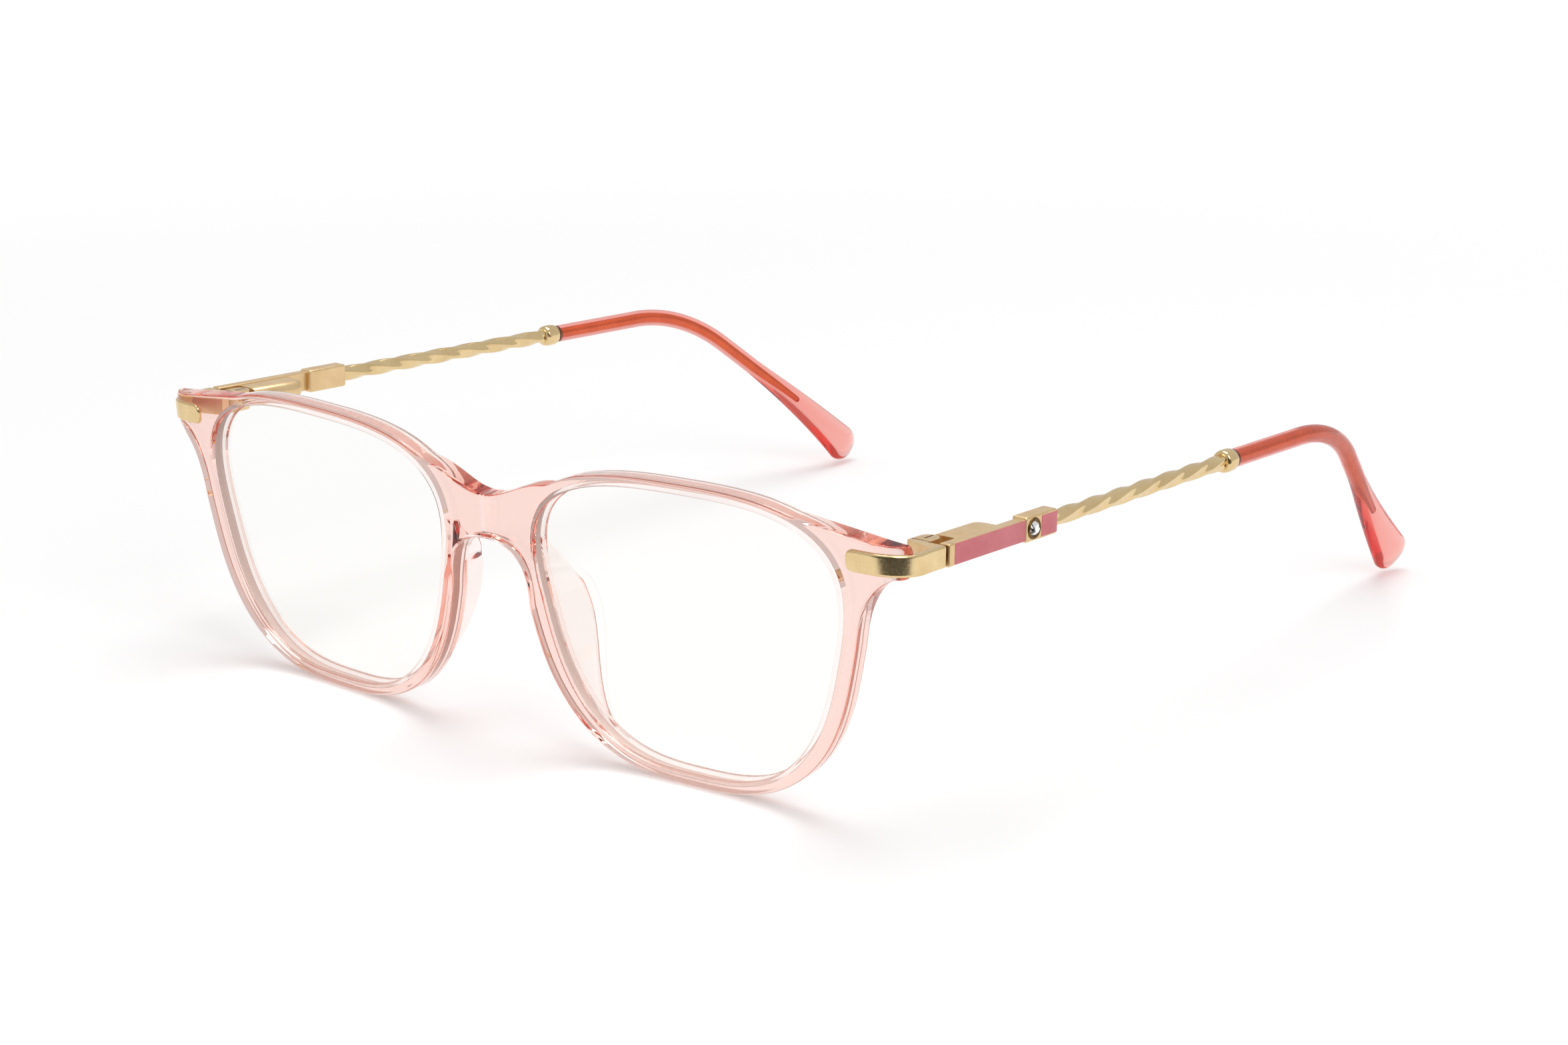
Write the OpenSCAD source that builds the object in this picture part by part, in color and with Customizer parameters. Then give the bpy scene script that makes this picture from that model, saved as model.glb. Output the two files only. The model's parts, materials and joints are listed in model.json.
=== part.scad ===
// Spectacles with a moulded front, metal temples and sprung hinges.
// They stand on a table: +Z is up, the front faces -Y and the wearer's left is +X.

/* [Lenses] */
// Width of one lens, box measure
lens_w = 51; // [46:0.5:56]
// Height of one lens, box measure
lens_h = 40; // [35:0.5:45]
// Thickness of a lens
lens_t = 1.8; // [1.2:0.1:2.2]
// Squareness of the lens outline, where 2 is an ellipse
lens_square = 2.9; // [2.2:0.1:3.6]
// Share by which the outline widens from its middle to the brow
lens_taper = 0.2; // [0:0.02:0.3]
// Rise of the outer brow corner over the inner one
brow_lift = 0.35; // [0:0.1:1.5]

/* [Front] */
// Gap between the two lenses at the bridge
bridge_w = 16; // [15:0.5:21]
// Depth of the rims, front to back
rim_d = 3.2; // [2.9:0.1:4]
// Width of the rim over the brow
rim_top = 1.5; // [1.2:0.1:2.4]
// Width of the rim under the lens
rim_low = 1.8; // [1.4:0.1:3]
// Width of the rim at the sides of the lens
rim_side = 3; // [2.2:0.1:3.6]
// Depth of the groove that holds the lens
groove = 0.7; // [0.4:0.1:1]
// Angle by which each half of the front sweeps back
wrap = 3.4; // [0:0.5:5]
// Angle by which the front leans forward on the table
lean = 3.4; // [0:0.2:6]
// Height of the bridge saddle over the lens centres
saddle_z = 14.2; // [12:0.2:17]
// Height of the arch under the bridge over the lens centres
arch_z = 7.8; // [4:0.2:9]
// Squareness of that arch, where 2 is an ellipse
arch_square = 2.6; // [2:0.1:3]

/* [Nose pads] */
// Reach of a nose pad behind the rim
pad_reach = 5.7; // [4:0.1:8]
// Length of a nose pad along the rim
pad_l = 27; // [20:0.5:29]
// Height of a pad's middle over the middle of the rim's nose side
pad_rise = 3; // [2:0.5:5]
// Thickness of a nose pad
pad_t = 1.4; // [1:0.1:2]
// Angle by which a pad turns outwards on its way back
pad_splay = 18; // [8:1:30]

/* [Lugs and endpieces] */
// Distance from the outer edge of the lens to the side of the lug
lug_reach = 9.7; // [7.5:0.1:11]
// Height of the side of the lug
lug_h = 4.4; // [4:0.1:6]
// Height of the lug's middle over the lens centres
lug_z = 15.1; // [14:0.1:17.5]
// Bend radius at the corner of the lug
corner_r = 5.5; // [4.5:0.1:7]
// Angle through which the lug follows the corner bend
lug_turn = 60; // [45:5:65]
// Thickness of the endpiece strip
strip_t = 1; // [0.8:0.1:1.4]
// How far the strip stands out of the lug
strip_out = 0.4; // [0.1:0.1:0.6]
// Length of the strip over the lug's front face
strip_front = 1.8; // [1:0.1:2.4]
// Diameter of the pin that holds the endpiece in the lug
pin_d = 1.4; // [1:0.1:1.8]

/* [Hinge] */
// Distance from the hinge axis in to the outer face of the temple
hinge_in = 4.3; // [3.9:0.1:4.8]
// Length of the endpiece's side, from the corner bend to the hinge axis
hinge_back = 5.6; // [5.4:0.1:8]
// Drop of the hinge axis under the lug's middle
hinge_drop = 1.1; // [0.6:0.1:1.6]
// Open gap between the endpiece and the temple
butt_gap = 0.55; // [0.5:0.05:0.8]
// Distance of the gap in front of the hinge axis
butt_ahead = 2; // [1.9:0.1:2.3]
// Radius of the hinge knuckles
knuckle_r = 1.35; // [1.2:0.05:1.5]
// Height of the middle knuckle
eye_h = 1.1; // [0.9:0.05:1.3]
// Diameter of the hinge screw's shank
screw_d = 1.2; // [1:0.1:1.4]
// Diameter of the hinge screw's head
head_d = 1.9; // [1.7:0.1:2.1]
// Running clearance between moving metal faces
play = 0.05; // [0.03:0.01:0.08]

/* [Flex spring] */
// Travel of the sprung slide
flex_travel = 1.2; // [0.6:0.1:1.6]
// Diameter of the slider's shaft
shaft_d = 1; // [0.8:0.05:1.1]
// Bore of the spring chamber
chamber_d = 1.7; // [1.6:0.05:1.8]
// Gap left between the turns of the spring when the slide is pulled right out
coil_gap = 0.37; // [0.25:0.01:0.5]
// Number of turns of the spring
spring_turns = 7; // [5:1:8]
// Diameter of the spring wire
spring_wire = 0.2; // [0.16:0.01:0.24]
// Length of the bush that closes the chamber
bush_l = 0.8; // [0.6:0.1:1.2]
// Length of the nut at the end of the shaft
nut_l = 0.8; // [0.6:0.1:1.2]
// Distance of the housing's mouth behind the hinge axis
mouth = 2; // [1.9:0.1:2.4]
// Wall of the housing round its chamber
housing_wall = 0.5; // [0.4:0.05:0.7]
// Length of the housing's tapered end
housing_tail = 2.6; // [1:0.1:3.2]

/* [Temples] */
// Length of the temple from the hinge axis to the tip, along its line
temple_l = 145; // [135:1:150]
// Height of the temple bar and the endpiece
bar_h = 2.9; // [2.8:0.1:3.6]
// Thickness of the temple bar
bar_t = 1.5; // [1.2:0.1:1.7]
// Length of the temple bar behind the hinge axis
bar_l = 22.6; // [21:0.2:27]
// Height of the stone's block
block_h = 3.4; // [3.4:0.1:4.2]
// Thickness of the stone's block
block_t = 2.3; // [2:0.1:2.6]
// Length of the stone's block
block_l = 7.3; // [6.6:0.1:8]
// Length of the twisted shank
shank_l = 43; // [34:1:50]
// Diameter of the twisted shank
shank_d = 2.3; // [2:0.1:2.8]
// Lobes that show along the shank
shank_lobes = 7; // [3:1:10]
// Length of the ferrule
ferrule_l = 2.9; // [2.6:0.1:5]
// Largest diameter of the ferrule
ferrule_d = 3.3; // [3:0.1:4]
// Inward angle of the temples from straight back
splay = 2; // [0:0.1:4]

/* [Trim] */
// Metal left at each end of an enamel inlay
inlay_edge = 0.4; // [0.2:0.1:0.8]
// Height of the enamel inlays
inlay_h = 2.5; // [1.6:0.1:2.6]
// Thickness of the enamel inlays
inlay_t = 0.45; // [0.3:0.05:0.6]
// Diameter of the stone
stone_d = 2.3; // [2:0.1:2.8]
// Depth of the stone's seat
stone_seat = 0.9; // [0.6:0.1:1.2]

/* [Temple tips] */
// Diameter of the tip where it leaves the ferrule
tip_d = 2.7; // [2.4:0.1:3.2]
// Straight run of the tip before its bend
tip_run = 19; // [10:0.5:24]
// Radius of the bend over the ear
ear_r = 31; // [22:1:44]
// Angle of the bend over the ear
ear_drop = 39; // [30:1:50]
// Angle by which the bend turns in towards the head
ear_in = 18; // [0:1:24]
// Width of the paddle at the end
paddle_w = 6.8; // [4:0.1:7]
// Thickness of the paddle
paddle_t = 2.2; // [1.8:0.1:2.7]
// How far the end of the tip curls outwards
tip_curl = 1.8; // [0:0.2:3]
// Diameter of the core wire
core_d = 0.9; // [0.8:0.1:1.5]
// Length of the core wire past the bend
core_past = 19.5; // [6:0.5:20]

/* [Hidden] */
$fn = 48;
// clearance between pieces that are glued or pressed together
seat = 0.02;
// rounding of the lug's side, and the least thickness of its end
lug_round = 1;
lug_lip = 0.4;
// power that sets a nose pad's widest place above its middle
pad_skew = 0.82;
// distance from the corner bend to the web that carries the knuckles
web_at = 1;
// how much smaller the middle knuckle is, and the room in front of it
eye_step = 0.1;
eye_room = 0.3;
// slot of the hinge screw, and the depth of its head
slot_w = 0.3;
screw_seat = 0.45;
// room behind the spring nut
nut_room = 0.4;
// bare metal at the front end of the temple bar
lip_l = 1.9;
// how far the stone's block, its bezel and its crown stand out
block_out = 0.15;
bezel_w = 0.3;
bezel_out = 0.2;
stone_crown = 0.5;
// how much thinner the ferrule's ends are than the tip
ferrule_step = 0.1;
// how far shapes that are joined or cut run past each other
past = 0.6;

gold = "#cdb57c";
pale_pink = "#f2cbc4";
coral = "#e08a85";
enamel = "#d2748a";
glass = "#eef3f6";

// lens outline: a superellipse that widens to the brow, and its offsets
outline_step = 6;
lens_x = (lens_w + bridge_w) / 2;
function signed_pow(v, p) = sign(v) * pow(abs(v), p);
function blank(t) =
    let (x = signed_pow(cos(t), 2 / lens_square), y = signed_pow(sin(t), 2 / lens_square))
    [x * (1 + lens_taper * y), y];
blank_half = max([for (t = [0 : outline_step : 359]) blank(t)[0]]);
function lens_pt(t) =
    let (b = blank(t), x = b[0] / blank_half)
    [lens_x + lens_w / 2 * x, lens_h / 2 * b[1] + brow_lift * x * max(b[1], 0)];
function lens_normal(t) =
    let (d = lens_pt(t + 2) - lens_pt(t - 2))
    [d[1], -d[0]] / norm(d);
function lens_outline(grow) = [for (t = [0 : outline_step : 359]) lens_pt(t) + grow * lens_normal(t)];
function rim_width(n) = rim_side * n[0] * n[0] + (n[1] > 0 ? rim_top : rim_low) * n[1] * n[1];
// a point of the rim's outer edge, or the same distance inside it
function rim_pt(t, inside = 0) =
    let (n = lens_normal(t))
    lens_pt(t) + (rim_width(n) - groove - inside) * n;
function rim_run(from, to, inside = 0) =
    [for (t = [from : (to > from ? 1 : -1) * outline_step : to]) rim_pt(t, inside)];
function bezier(a, b, c, n) =
    [for (i = [0 : n]) let (q = i / n) (1 - q) * (1 - q) * a + 2 * q * (1 - q) * b + q * q * c];
function arc(centre, r, from, to, n) =
    [for (i = [0 : n]) let (q = from + (to - from) * i / n) centre + r * [cos(q), sin(q)]];

// where the bridge and the lug leave the rim, as angles round the lens
bridge_top_t = 132;
bridge_foot_t = 180;
pad_foot_t = 210;
lug_top_t = 60;
lug_foot_t = 6;
lens_front = (rim_d - lens_t) / 2;

// front: where it stands, and the lug's corner in the half front's own plane
lug_x = lens_x + lens_w / 2 + lug_reach;
corner = [lug_x - corner_r, corner_r];
lug_end = corner[0] + corner_r * sin(lug_turn);
lug_rear = max(rim_d, corner_r * (1 - cos(lug_turn)) + lug_lip);
rim_foot = lens_h / 2 + rim_low - groove;
front_z = rim_foot * cos(lean) - lens_x * sin(wrap) * sin(lean);
strip_in = strip_t - strip_out;

// hinge axis, first on the half front and then on the whole front
half_hinge = [lug_x + strip_out - hinge_in, corner[1] + hinge_back];
front_hinge = [
    half_hinge[0] * cos(wrap) - half_hinge[1] * sin(wrap),
    half_hinge[0] * sin(wrap) + half_hinge[1] * cos(wrap),
    lug_z - hinge_drop
];
hinge_z = front_z + front_hinge[1] * sin(lean) + front_hinge[2] * cos(lean);
endpiece_end = -butt_ahead - butt_gap / 2;
bar_start = -butt_ahead + butt_gap / 2;
eye_r = knuckle_r - eye_step;

// spring chamber, measured back from the hinge axis
spring_l = (spring_turns + 1) * spring_wire + spring_turns * coil_gap + flex_travel;
spring_at = mouth + bush_l;
nut_at = spring_at + spring_l;
chamber_end = nut_at + nut_l + nut_room;
housing_r = chamber_d / 2 + housing_wall;
housing_end = chamber_end + housing_wall;
bar_in = hinge_in - bar_t;

// trim on the temple bar
block_start = bar_l - block_l;
inlay_start = bar_start + lip_l;
stone_at = block_start + bezel_w + inlay_edge + stone_d / 2;
short_start = stone_at + stone_d / 2 + bezel_w + inlay_edge;
line_x = hinge_in + block_out - block_t / 2;

// line of the temple tip: run, bend and straight end, with s measured from the ferrule
tip_start = bar_l + shank_l + ferrule_l;
bend_l = ear_r * ear_drop * PI / 180;
tip_l = temple_l - tip_start;
end_at = tip_run + bend_l;
end_l = tip_l - end_at;
bend_dir = [-sin(ear_in), 0, -cos(ear_in)];
side_axis = [cos(ear_in), 0, -sin(ear_in)];
function turned(s) = s < tip_run ? 0 : min((s - tip_run) * 180 / (PI * ear_r), ear_drop);
function heading(s) = [0, cos(turned(s)), 0] + sin(turned(s)) * bend_dir;
function inside_axis(s) = cos(turned(s)) * bend_dir - [0, sin(turned(s)), 0];
function tip_line(s) =
    [line_x, tip_start + min(s, tip_run), 0]
    + ear_r * ([0, sin(turned(s)), 0] + (1 - cos(turned(s))) * bend_dir)
    + max(0, s - end_at) * heading(s)
    + tip_curl * pow(max(0, s - flare_at) / (tip_l - flare_at), 2) * side_axis;

// cross-section of the tip: round, then a flared paddle with a rounded end
flare_at = end_at + 0.35 * end_l;
cap_l = 0.3 * paddle_w;
function flare(s) = pow(min(1, max(0, (s - flare_at) / (tip_l - cap_l - flare_at))), 1.5);
function cap(s) = let (q = max(0, s - tip_l + cap_l) / cap_l) sqrt(max(0.01, 1 - q * q));
function half_w(s) = (tip_d + flare(s) * (paddle_w - tip_d)) / 2 * cap(s);
function half_t(s) = (tip_d + flare(s) * (paddle_t - tip_d)) / 2 * cap(s);
// the paddle flares to its lower edge a little more than to its upper one
paddle_lead = 0.1;
function paddle_shift(s) = paddle_lead * flare(s) * (paddle_w - tip_d);
tip_sides = 12;
function ring(s, w, t, shift) = [
    for (i = [0 : tip_sides - 1])
        let (q = 360 * i / tip_sides)
        tip_line(s) + (shift + w * cos(q)) * inside_axis(s) - t * sin(q) * side_axis
];
function tip_ring(s) = ring(s, half_w(s), half_t(s), paddle_shift(s));
cap_rings = 5;
tip_stations = concat(
    [0, tip_run / 2, tip_run],
    [for (i = [1 : 9]) tip_run + bend_l * i / 9],
    [for (i = [1 : 10]) end_at + (end_l - cap_l) * i / 10],
    [for (i = [1 : cap_rings]) tip_l - cap_l + cap_l * sin(90 * i / cap_rings)]
);
core_end = min(end_at + core_past, tip_l - cap_l);
core_stations = concat(
    [0, tip_run / 2, tip_run],
    [for (i = [1 : 9]) tip_run + bend_l * i / 9],
    [end_at + (core_end - end_at) / 2, core_end]
);

// slope of the temples that sets the tips on the table: first roughly, then by the lowest point
function table_slope(p) = asin(hinge_z / norm([p[1], p[2]])) - atan(-p[2] / p[1]);
function splayed(p) = [p[0] * cos(splay) - p[1] * sin(splay), p[0] * sin(splay) + p[1] * cos(splay), p[2]];
tip_points = [for (s = tip_stations) each [for (p = tip_ring(s)) splayed(p)]];
rough_slope = table_slope(splayed(tip_line(tip_l - cap_l)));
function height(p, a) = p[2] * cos(a) - p[1] * sin(a);
function depth(p, a) = p[1] * cos(a) + p[2] * sin(a);
heights = [for (p = tip_points) height(p, rough_slope)];
slope = table_slope(tip_points[search(min(heights), heights)[0]]);

// y place that centres the whole object
hinge_from_front = front_hinge[1] * cos(lean) - front_hinge[2] * sin(lean);
back_y = hinge_from_front + max([for (p = tip_points) depth(p, slope)]);
brow_y = -(lens_h / 2 + rim_top - groove) * sin(lean) + lens_x * sin(wrap) * cos(lean);
saddle_y = -saddle_z * sin(lean);
front_y = -(back_y + min(brow_y, saddle_y)) / 2;
hinge_at = [front_hinge[0], front_y + hinge_from_front, hinge_z];
echo(hinge_at = hinge_at, hinge_axis = [0, sin(slope), cos(slope)], slope = slope);
echo(slide_axis = [-sin(splay), cos(splay) * cos(slope), -cos(splay) * sin(slope)]);
echo(front_y = front_y, front_z = front_z, back_y = front_y + back_y, end_l = end_l);

module left() { children(); }
module right() { mirror([1, 0, 0]) children(); }
module half_front() {
    translate([0, front_y, front_z]) rotate([lean, 0, 0]) rotate([0, 0, wrap]) children();
}
module on_temple() { translate(hinge_at) rotate([-slope, 0, 0]) rotate([0, 0, splay]) children(); }

// extrudes an outline drawn in x and z back along y
module back_extrude(from, l) { translate([0, from + l, 0]) rotate([90, 0, 0]) linear_extrude(l) children(); }
// a rod or a bore along y
module rod(d, from, to) { translate([0, from, 0]) rotate([-90, 0, 0]) cylinder(d = d, h = to - from); }
// a box with its sides at the given x and y, centred on z = 0
module slab(x, y, h) {
    translate([x[0], y[0], -h / 2]) cube([x[1] - x[0], y[1] - y[0], h]);
}
// a closed tube over rings of points, each ring with the same number of points
module skin(rings) {
    n = len(rings[0]);
    m = len(rings);
    polyhedron(
        [for (r = rings) each r],
        concat(
            [[for (i = [0 : n - 1]) i]],
            [for (k = [0 : m - 2], i = [0 : n - 1])
                let (j = (i + 1) % n)
                each [[k * n + i, (k + 1) * n + j, k * n + j], [k * n + i, (k + 1) * n + i, (k + 1) * n + j]]],
            [[for (i = [n - 1 : -1 : 0]) (m - 1) * n + i]]
        ),
        convexity = 8
    );
}

// front frame
module bridge_outline() {
    top = rim_pt(bridge_top_t, past);
    foot = rim_pt(bridge_foot_t);
    polygon(concat(
        [for (i = [0 : 8])
            let (across = pow(sin(i * 90 / 8), 2 / arch_square), rise = pow(cos(i * 90 / 8), 2 / arch_square))
            [foot[0] * across, foot[1] + (arch_z - foot[1]) * rise]],
        rim_run(bridge_foot_t, bridge_top_t, past),
        [for (i = [8 : -1 : 0]) [top[0] * i / 8, saddle_z + (top[1] - saddle_z) * (1 - cos(180 * i / 8)) / 2]]
    ));
}

module lug_face() {
    r = lug_round;
    high = lug_z + lug_h / 2;
    low = lug_z - lug_h / 2;
    foot = rim_pt(lug_foot_t);
    polygon(concat(
        rim_run(lug_foot_t, lug_top_t, past),
        [rim_pt(lug_top_t)],
        arc([lug_end - r, high - r], r, 90, 0, 4),
        arc([lug_end - r, low + r], r, 0, -90, 4),
        bezier([lug_end - 2 * r, low], [foot[0] + r, low - lug_h / 2], foot, 8)
    ));
}

module lug_plan() {
    inner = lens_x + lens_w / 4;
    polygon(concat(
        [[inner, 0]],
        arc(corner, corner_r, -90, lug_turn - 90, 8),
        [[lug_end, lug_rear], [corner[0], lug_rear], [corner[0] - rim_d, rim_d], [inner, rim_d]]
    ));
}

module lug() {
    intersection() {
        back_extrude(-past, lug_rear + 2 * past) lug_face();
        linear_extrude(lug_z + lens_h) lug_plan();
    }
}

module nose_pad() {
    foot = rim_pt(bridge_foot_t);
    lower = rim_pt(pad_foot_t);
    tilt = atan((lower[0] - foot[0]) / (foot[1] - lower[1]));
    root = past;
    middle = (foot + lower) / 2 + [rim_side / 2, pad_rise];
    translate([middle[0] - pad_t / 2, rim_d, middle[1]]) rotate([0, -tilt, 0]) rotate([0, 0, -pad_splay])
        rotate([90, 0, 90]) linear_extrude(pad_t) polygon(concat(
            [[-root, -pad_l / 2]],
            [for (i = [18 : -1 : 0])
                let (q = i / 18)
                [pad_reach * sin(180 * pow(q, pad_skew)), pad_l * (1 / 2 - q)]],
            [[-root, pad_l / 2]]
        ));
}

// strip of the endpiece round the corner of the lug, or the recess for it
module strip(grow) {
    h = bar_h + 2 * grow;
    end_x = corner[0] - strip_front;
    outer = corner_r + strip_out;
    inner = corner_r - strip_in - grow;
    rear = corner_r + past + grow;
    translate([0, 0, lug_z - h / 2]) linear_extrude(h) polygon(concat(
        [[end_x, corner_r - outer]],
        arc(corner, outer, -90, 0, 12),
        [[corner[0] + outer, rear], [corner[0] + inner, rear]],
        arc(corner, inner, 0, -90, 12),
        [[end_x, corner_r - inner]]
    ));
    translate([end_x, 0, lug_z]) rod(h, corner_r - outer, corner_r - inner);
}

module endpiece_pin_shape(d, to) {
    translate([corner[0] - strip_front / 2, 0, lug_z]) rod(d, strip_in, to);
}

module half_frame() {
    difference() {
        union() {
            difference() {
                union() {
                    back_extrude(0, rim_d) polygon(rim_run(0, 360 - outline_step));
                    back_extrude(0, rim_d) bridge_outline();
                    lug();
                }
                back_extrude(-past, rim_d + 2 * past) polygon(lens_outline(-groove));
            }
            nose_pad();
        }
        back_extrude(lens_front - seat, lens_t + 2 * seat) polygon(lens_outline(seat));
        strip(seat);
        endpiece_pin_shape(pin_d + 2 * seat, rim_d + past);
    }
}

// side of the endpiece behind the corner bend, or the room for it in the lug
module endpiece_side(grow) {
    slab([hinge_in - strip_t - grow, hinge_in + grow], [-hinge_back - grow, endpiece_end], bar_h + 2 * grow);
}

module front_half() {
    difference() {
        half_front() half_frame();
        on_temple() endpiece_side(seat);
    }
}

module front_frame() {
    color(pale_pink, 0.6) {
        left() front_half();
        right() front_half();
    }
}

module lens() {
    color(glass, 0.3) half_front() back_extrude(lens_front, lens_t) polygon(lens_outline(0));
}

// hinge
module knuckles() {
    difference() {
        union() {
            cylinder(r = knuckle_r, h = bar_h, center = true);
            translate([0, 0, -bar_h / 2]) linear_extrude(bar_h) polygon([
                [knuckle_r, 0], [-knuckle_r, 0], [-knuckle_r, -hinge_back / 2],
                [hinge_in - strip_t, web_at - hinge_back], [hinge_in - strip_t / 2, endpiece_end],
                [knuckle_r, endpiece_end]
            ]);
        }
        slab([-2 * hinge_in, hinge_in - strip_t], [-eye_r - eye_room, hinge_in], eye_h + 2 * play);
        cylinder(d = screw_d + 2 * seat, h = bar_h + past, center = true);
        translate([0, 0, bar_h / 2 - screw_seat]) cylinder(d = head_d + 2 * seat, h = bar_h);
    }
}

module endpiece() {
    color(gold) {
        half_front() strip(0);
        on_temple() {
            endpiece_side(0);
            knuckles();
        }
    }
}

module endpiece_pin() {
    color(gold) half_front() endpiece_pin_shape(pin_d, rim_d);
}

module hinge_screw() {
    color(gold) on_temple() difference() {
        union() {
            translate([0, 0, -bar_h / 2]) cylinder(d = screw_d, h = bar_h - screw_seat + seat);
            translate([0, 0, bar_h / 2 - screw_seat + seat]) cylinder(d = head_d, h = screw_seat);
        }
        translate([0, 0, bar_h / 2]) cube([slot_w, head_d + past, screw_seat], center = true);
    }
}

module hinge_slider() {
    color(gold) on_temple() difference() {
        union() {
            cylinder(r = eye_r, h = eye_h, center = true);
            rod(shaft_d, eye_r / 2, nut_at + nut_l);
        }
        cylinder(d = screw_d + 2 * play, h = 2 * eye_h, center = true);
    }
}

// a ring round the slider's shaft
module shaft_ring(d, bore, from, l) {
    difference() {
        rod(d, from, from + l);
        rod(bore, from - past, from + l + past);
    }
}

module spring_nut() {
    color(gold) on_temple() shaft_ring(chamber_d - 4 * play, shaft_d + 2 * seat, nut_at, nut_l);
}

module spring_bush() {
    color(gold) on_temple() shaft_ring(chamber_d - 2 * seat, shaft_d + 2 * play, mouth, bush_l);
}

module flex_spring() {
    coil_r = (shaft_d + chamber_d) / 4;
    rise = spring_l - spring_wire - 2 * seat;
    steps = 10 * spring_turns;
    color("silver") on_temple() skin([
        for (k = [0 : steps])
            let (
                q = 360 * spring_turns * k / steps,
                out = [cos(q), 0, sin(q)],
                centre = coil_r * out + [0, spring_at + seat + spring_wire / 2 + rise * k / steps, 0]
            )
            [for (i = [0 : 5]) centre + spring_wire / 2 * (cos(60 * i) * out + sin(60 * i) * [0, 1, 0])]
    ]);
}

module spring_housing() {
    tail_end = housing_end + housing_tail;
    color(gold) on_temple() difference() {
        intersection() {
            union() {
                rod(2 * housing_r, mouth, tail_end);
                slab([0, bar_in], [mouth, tail_end], 2 * housing_r);
            }
            translate([0, 0, -housing_r - past]) linear_extrude(2 * (housing_r + past)) polygon([
                [-housing_r - past, mouth], [-housing_r - past, housing_end], [bar_in - past, tail_end],
                [bar_in, tail_end], [bar_in, mouth]
            ]);
        }
        rod(chamber_d, mouth - past, chamber_end);
    }
}

// temple
module inlay(from, to, out, grow) {
    slab([out - inlay_t - grow, out + grow], [from - grow, to + grow], inlay_h + 2 * grow);
}
module long_inlay_shape(grow) { inlay(inlay_start, block_start - inlay_edge, hinge_in, grow); }
module short_inlay_shape(grow) { inlay(short_start, bar_l - inlay_edge, hinge_in + block_out, grow); }
module at_stone() { translate([hinge_in + block_out, stone_at, 0]) rotate([0, 90, 0]) children(); }

module temple_bar() {
    color(gold) on_temple() difference() {
        union() {
            slab([bar_in, hinge_in], [bar_start, bar_l], bar_h);
            slab([hinge_in + block_out - block_t, hinge_in + block_out], [block_start, bar_l], block_h);
            at_stone() cylinder(d = stone_d + 2 * bezel_w, h = bezel_out);
        }
        long_inlay_shape(seat);
        short_inlay_shape(seat);
        at_stone() translate([0, 0, -stone_seat]) cylinder(d = stone_d + 2 * seat, h = stone_seat + past);
    }
}

module long_inlay() { color(enamel) on_temple() long_inlay_shape(0); }
module short_inlay() { color(enamel) on_temple() short_inlay_shape(0); }

module stone() {
    color(glass) on_temple() at_stone() {
        translate([0, 0, -stone_seat]) cylinder(d = stone_d, h = stone_seat);
        cylinder(d1 = stone_d, d2 = 0.6 * stone_d, h = stone_crown);
    }
}

module twisted_shank() {
    // four lobes round the rod, so each lobe that shows is a quarter of a turn
    lobes_round = 4;
    lobe_share = 0.07;
    rings = 8 * shank_lobes;
    points = 16;
    color(gold) on_temple() skin([
        for (k = [0 : rings])
            let (y = bar_l + shank_l * k / rings, twist = 360 / lobes_round * shank_lobes * k / rings)
            [for (i = [0 : points - 1])
                let (q = 360 * i / points, r = shank_d / 2 * (1 - lobe_share + lobe_share * cos(lobes_round * q)))
                [line_x + r * cos(q - twist), y, -r * sin(q - twist)]]
    ]);
}

module ferrule() {
    neck = tip_d / 2 - ferrule_step;
    bulge = ferrule_d / 2;
    bore = core_d / 2 + seat;
    color(gold) on_temple() translate([line_x, bar_l + shank_l, 0]) rotate([-90, 0, 0]) rotate_extrude()
        polygon(concat(
            [[bore, 0]],
            [for (i = [0 : 12]) [neck + (bulge - neck) * sin(15 * i), ferrule_l * i / 12]],
            [[bore, ferrule_l]]
        ));
}

module core_wire() {
    r = core_d / 2;
    color(gold) on_temple() skin(concat(
        [ring(-ferrule_l, r, r, 0)],
        [for (s = core_stations) ring(s, r, r, 0)]
    ));
}

// the skin goes from the channel's blind end out to its mouth, and back over the outside
module temple_tip() {
    r = core_d / 2 + seat;
    last = len(core_stations) - 1;
    color(coral, 0.7) on_temple() skin(concat(
        [ring(core_end + seat, r, r, 0)],
        [for (k = [last - 1 : -1 : 0]) ring(core_stations[k], r, r, 0)],
        [for (s = tip_stations) tip_ring(s)]
    ));
}

front_frame();
left() lens();  // left_lens
right() lens();  // right_lens
left() endpiece();  // left_endpiece
right() endpiece();  // right_endpiece
left() endpiece_pin();  // left_endpiece_pin
right() endpiece_pin();  // right_endpiece_pin
left() hinge_screw();  // left_hinge_screw
right() hinge_screw();  // right_hinge_screw
left() hinge_slider();  // left_hinge_slider
right() hinge_slider();  // right_hinge_slider
left() spring_nut();  // left_spring_nut
right() spring_nut();  // right_spring_nut
left() flex_spring();  // left_flex_spring
right() flex_spring();  // right_flex_spring
left() spring_bush();  // left_spring_bush
right() spring_bush();  // right_spring_bush
left() spring_housing();  // left_spring_housing
right() spring_housing();  // right_spring_housing
left() temple_bar();  // left_temple_bar
right() temple_bar();  // right_temple_bar
left() long_inlay();  // left_long_inlay
right() long_inlay();  // right_long_inlay
left() short_inlay();  // left_short_inlay
right() short_inlay();  // right_short_inlay
left() stone();  // left_stone
right() stone();  // right_stone
left() twisted_shank();  // left_twisted_shank
right() twisted_shank();  // right_twisted_shank
left() ferrule();  // left_ferrule
right() ferrule();  // right_ferrule
left() core_wire();  // left_core_wire
right() core_wire();  // right_core_wire
left() temple_tip();  // left_temple_tip
right() temple_tip();  // right_temple_tip
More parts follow.
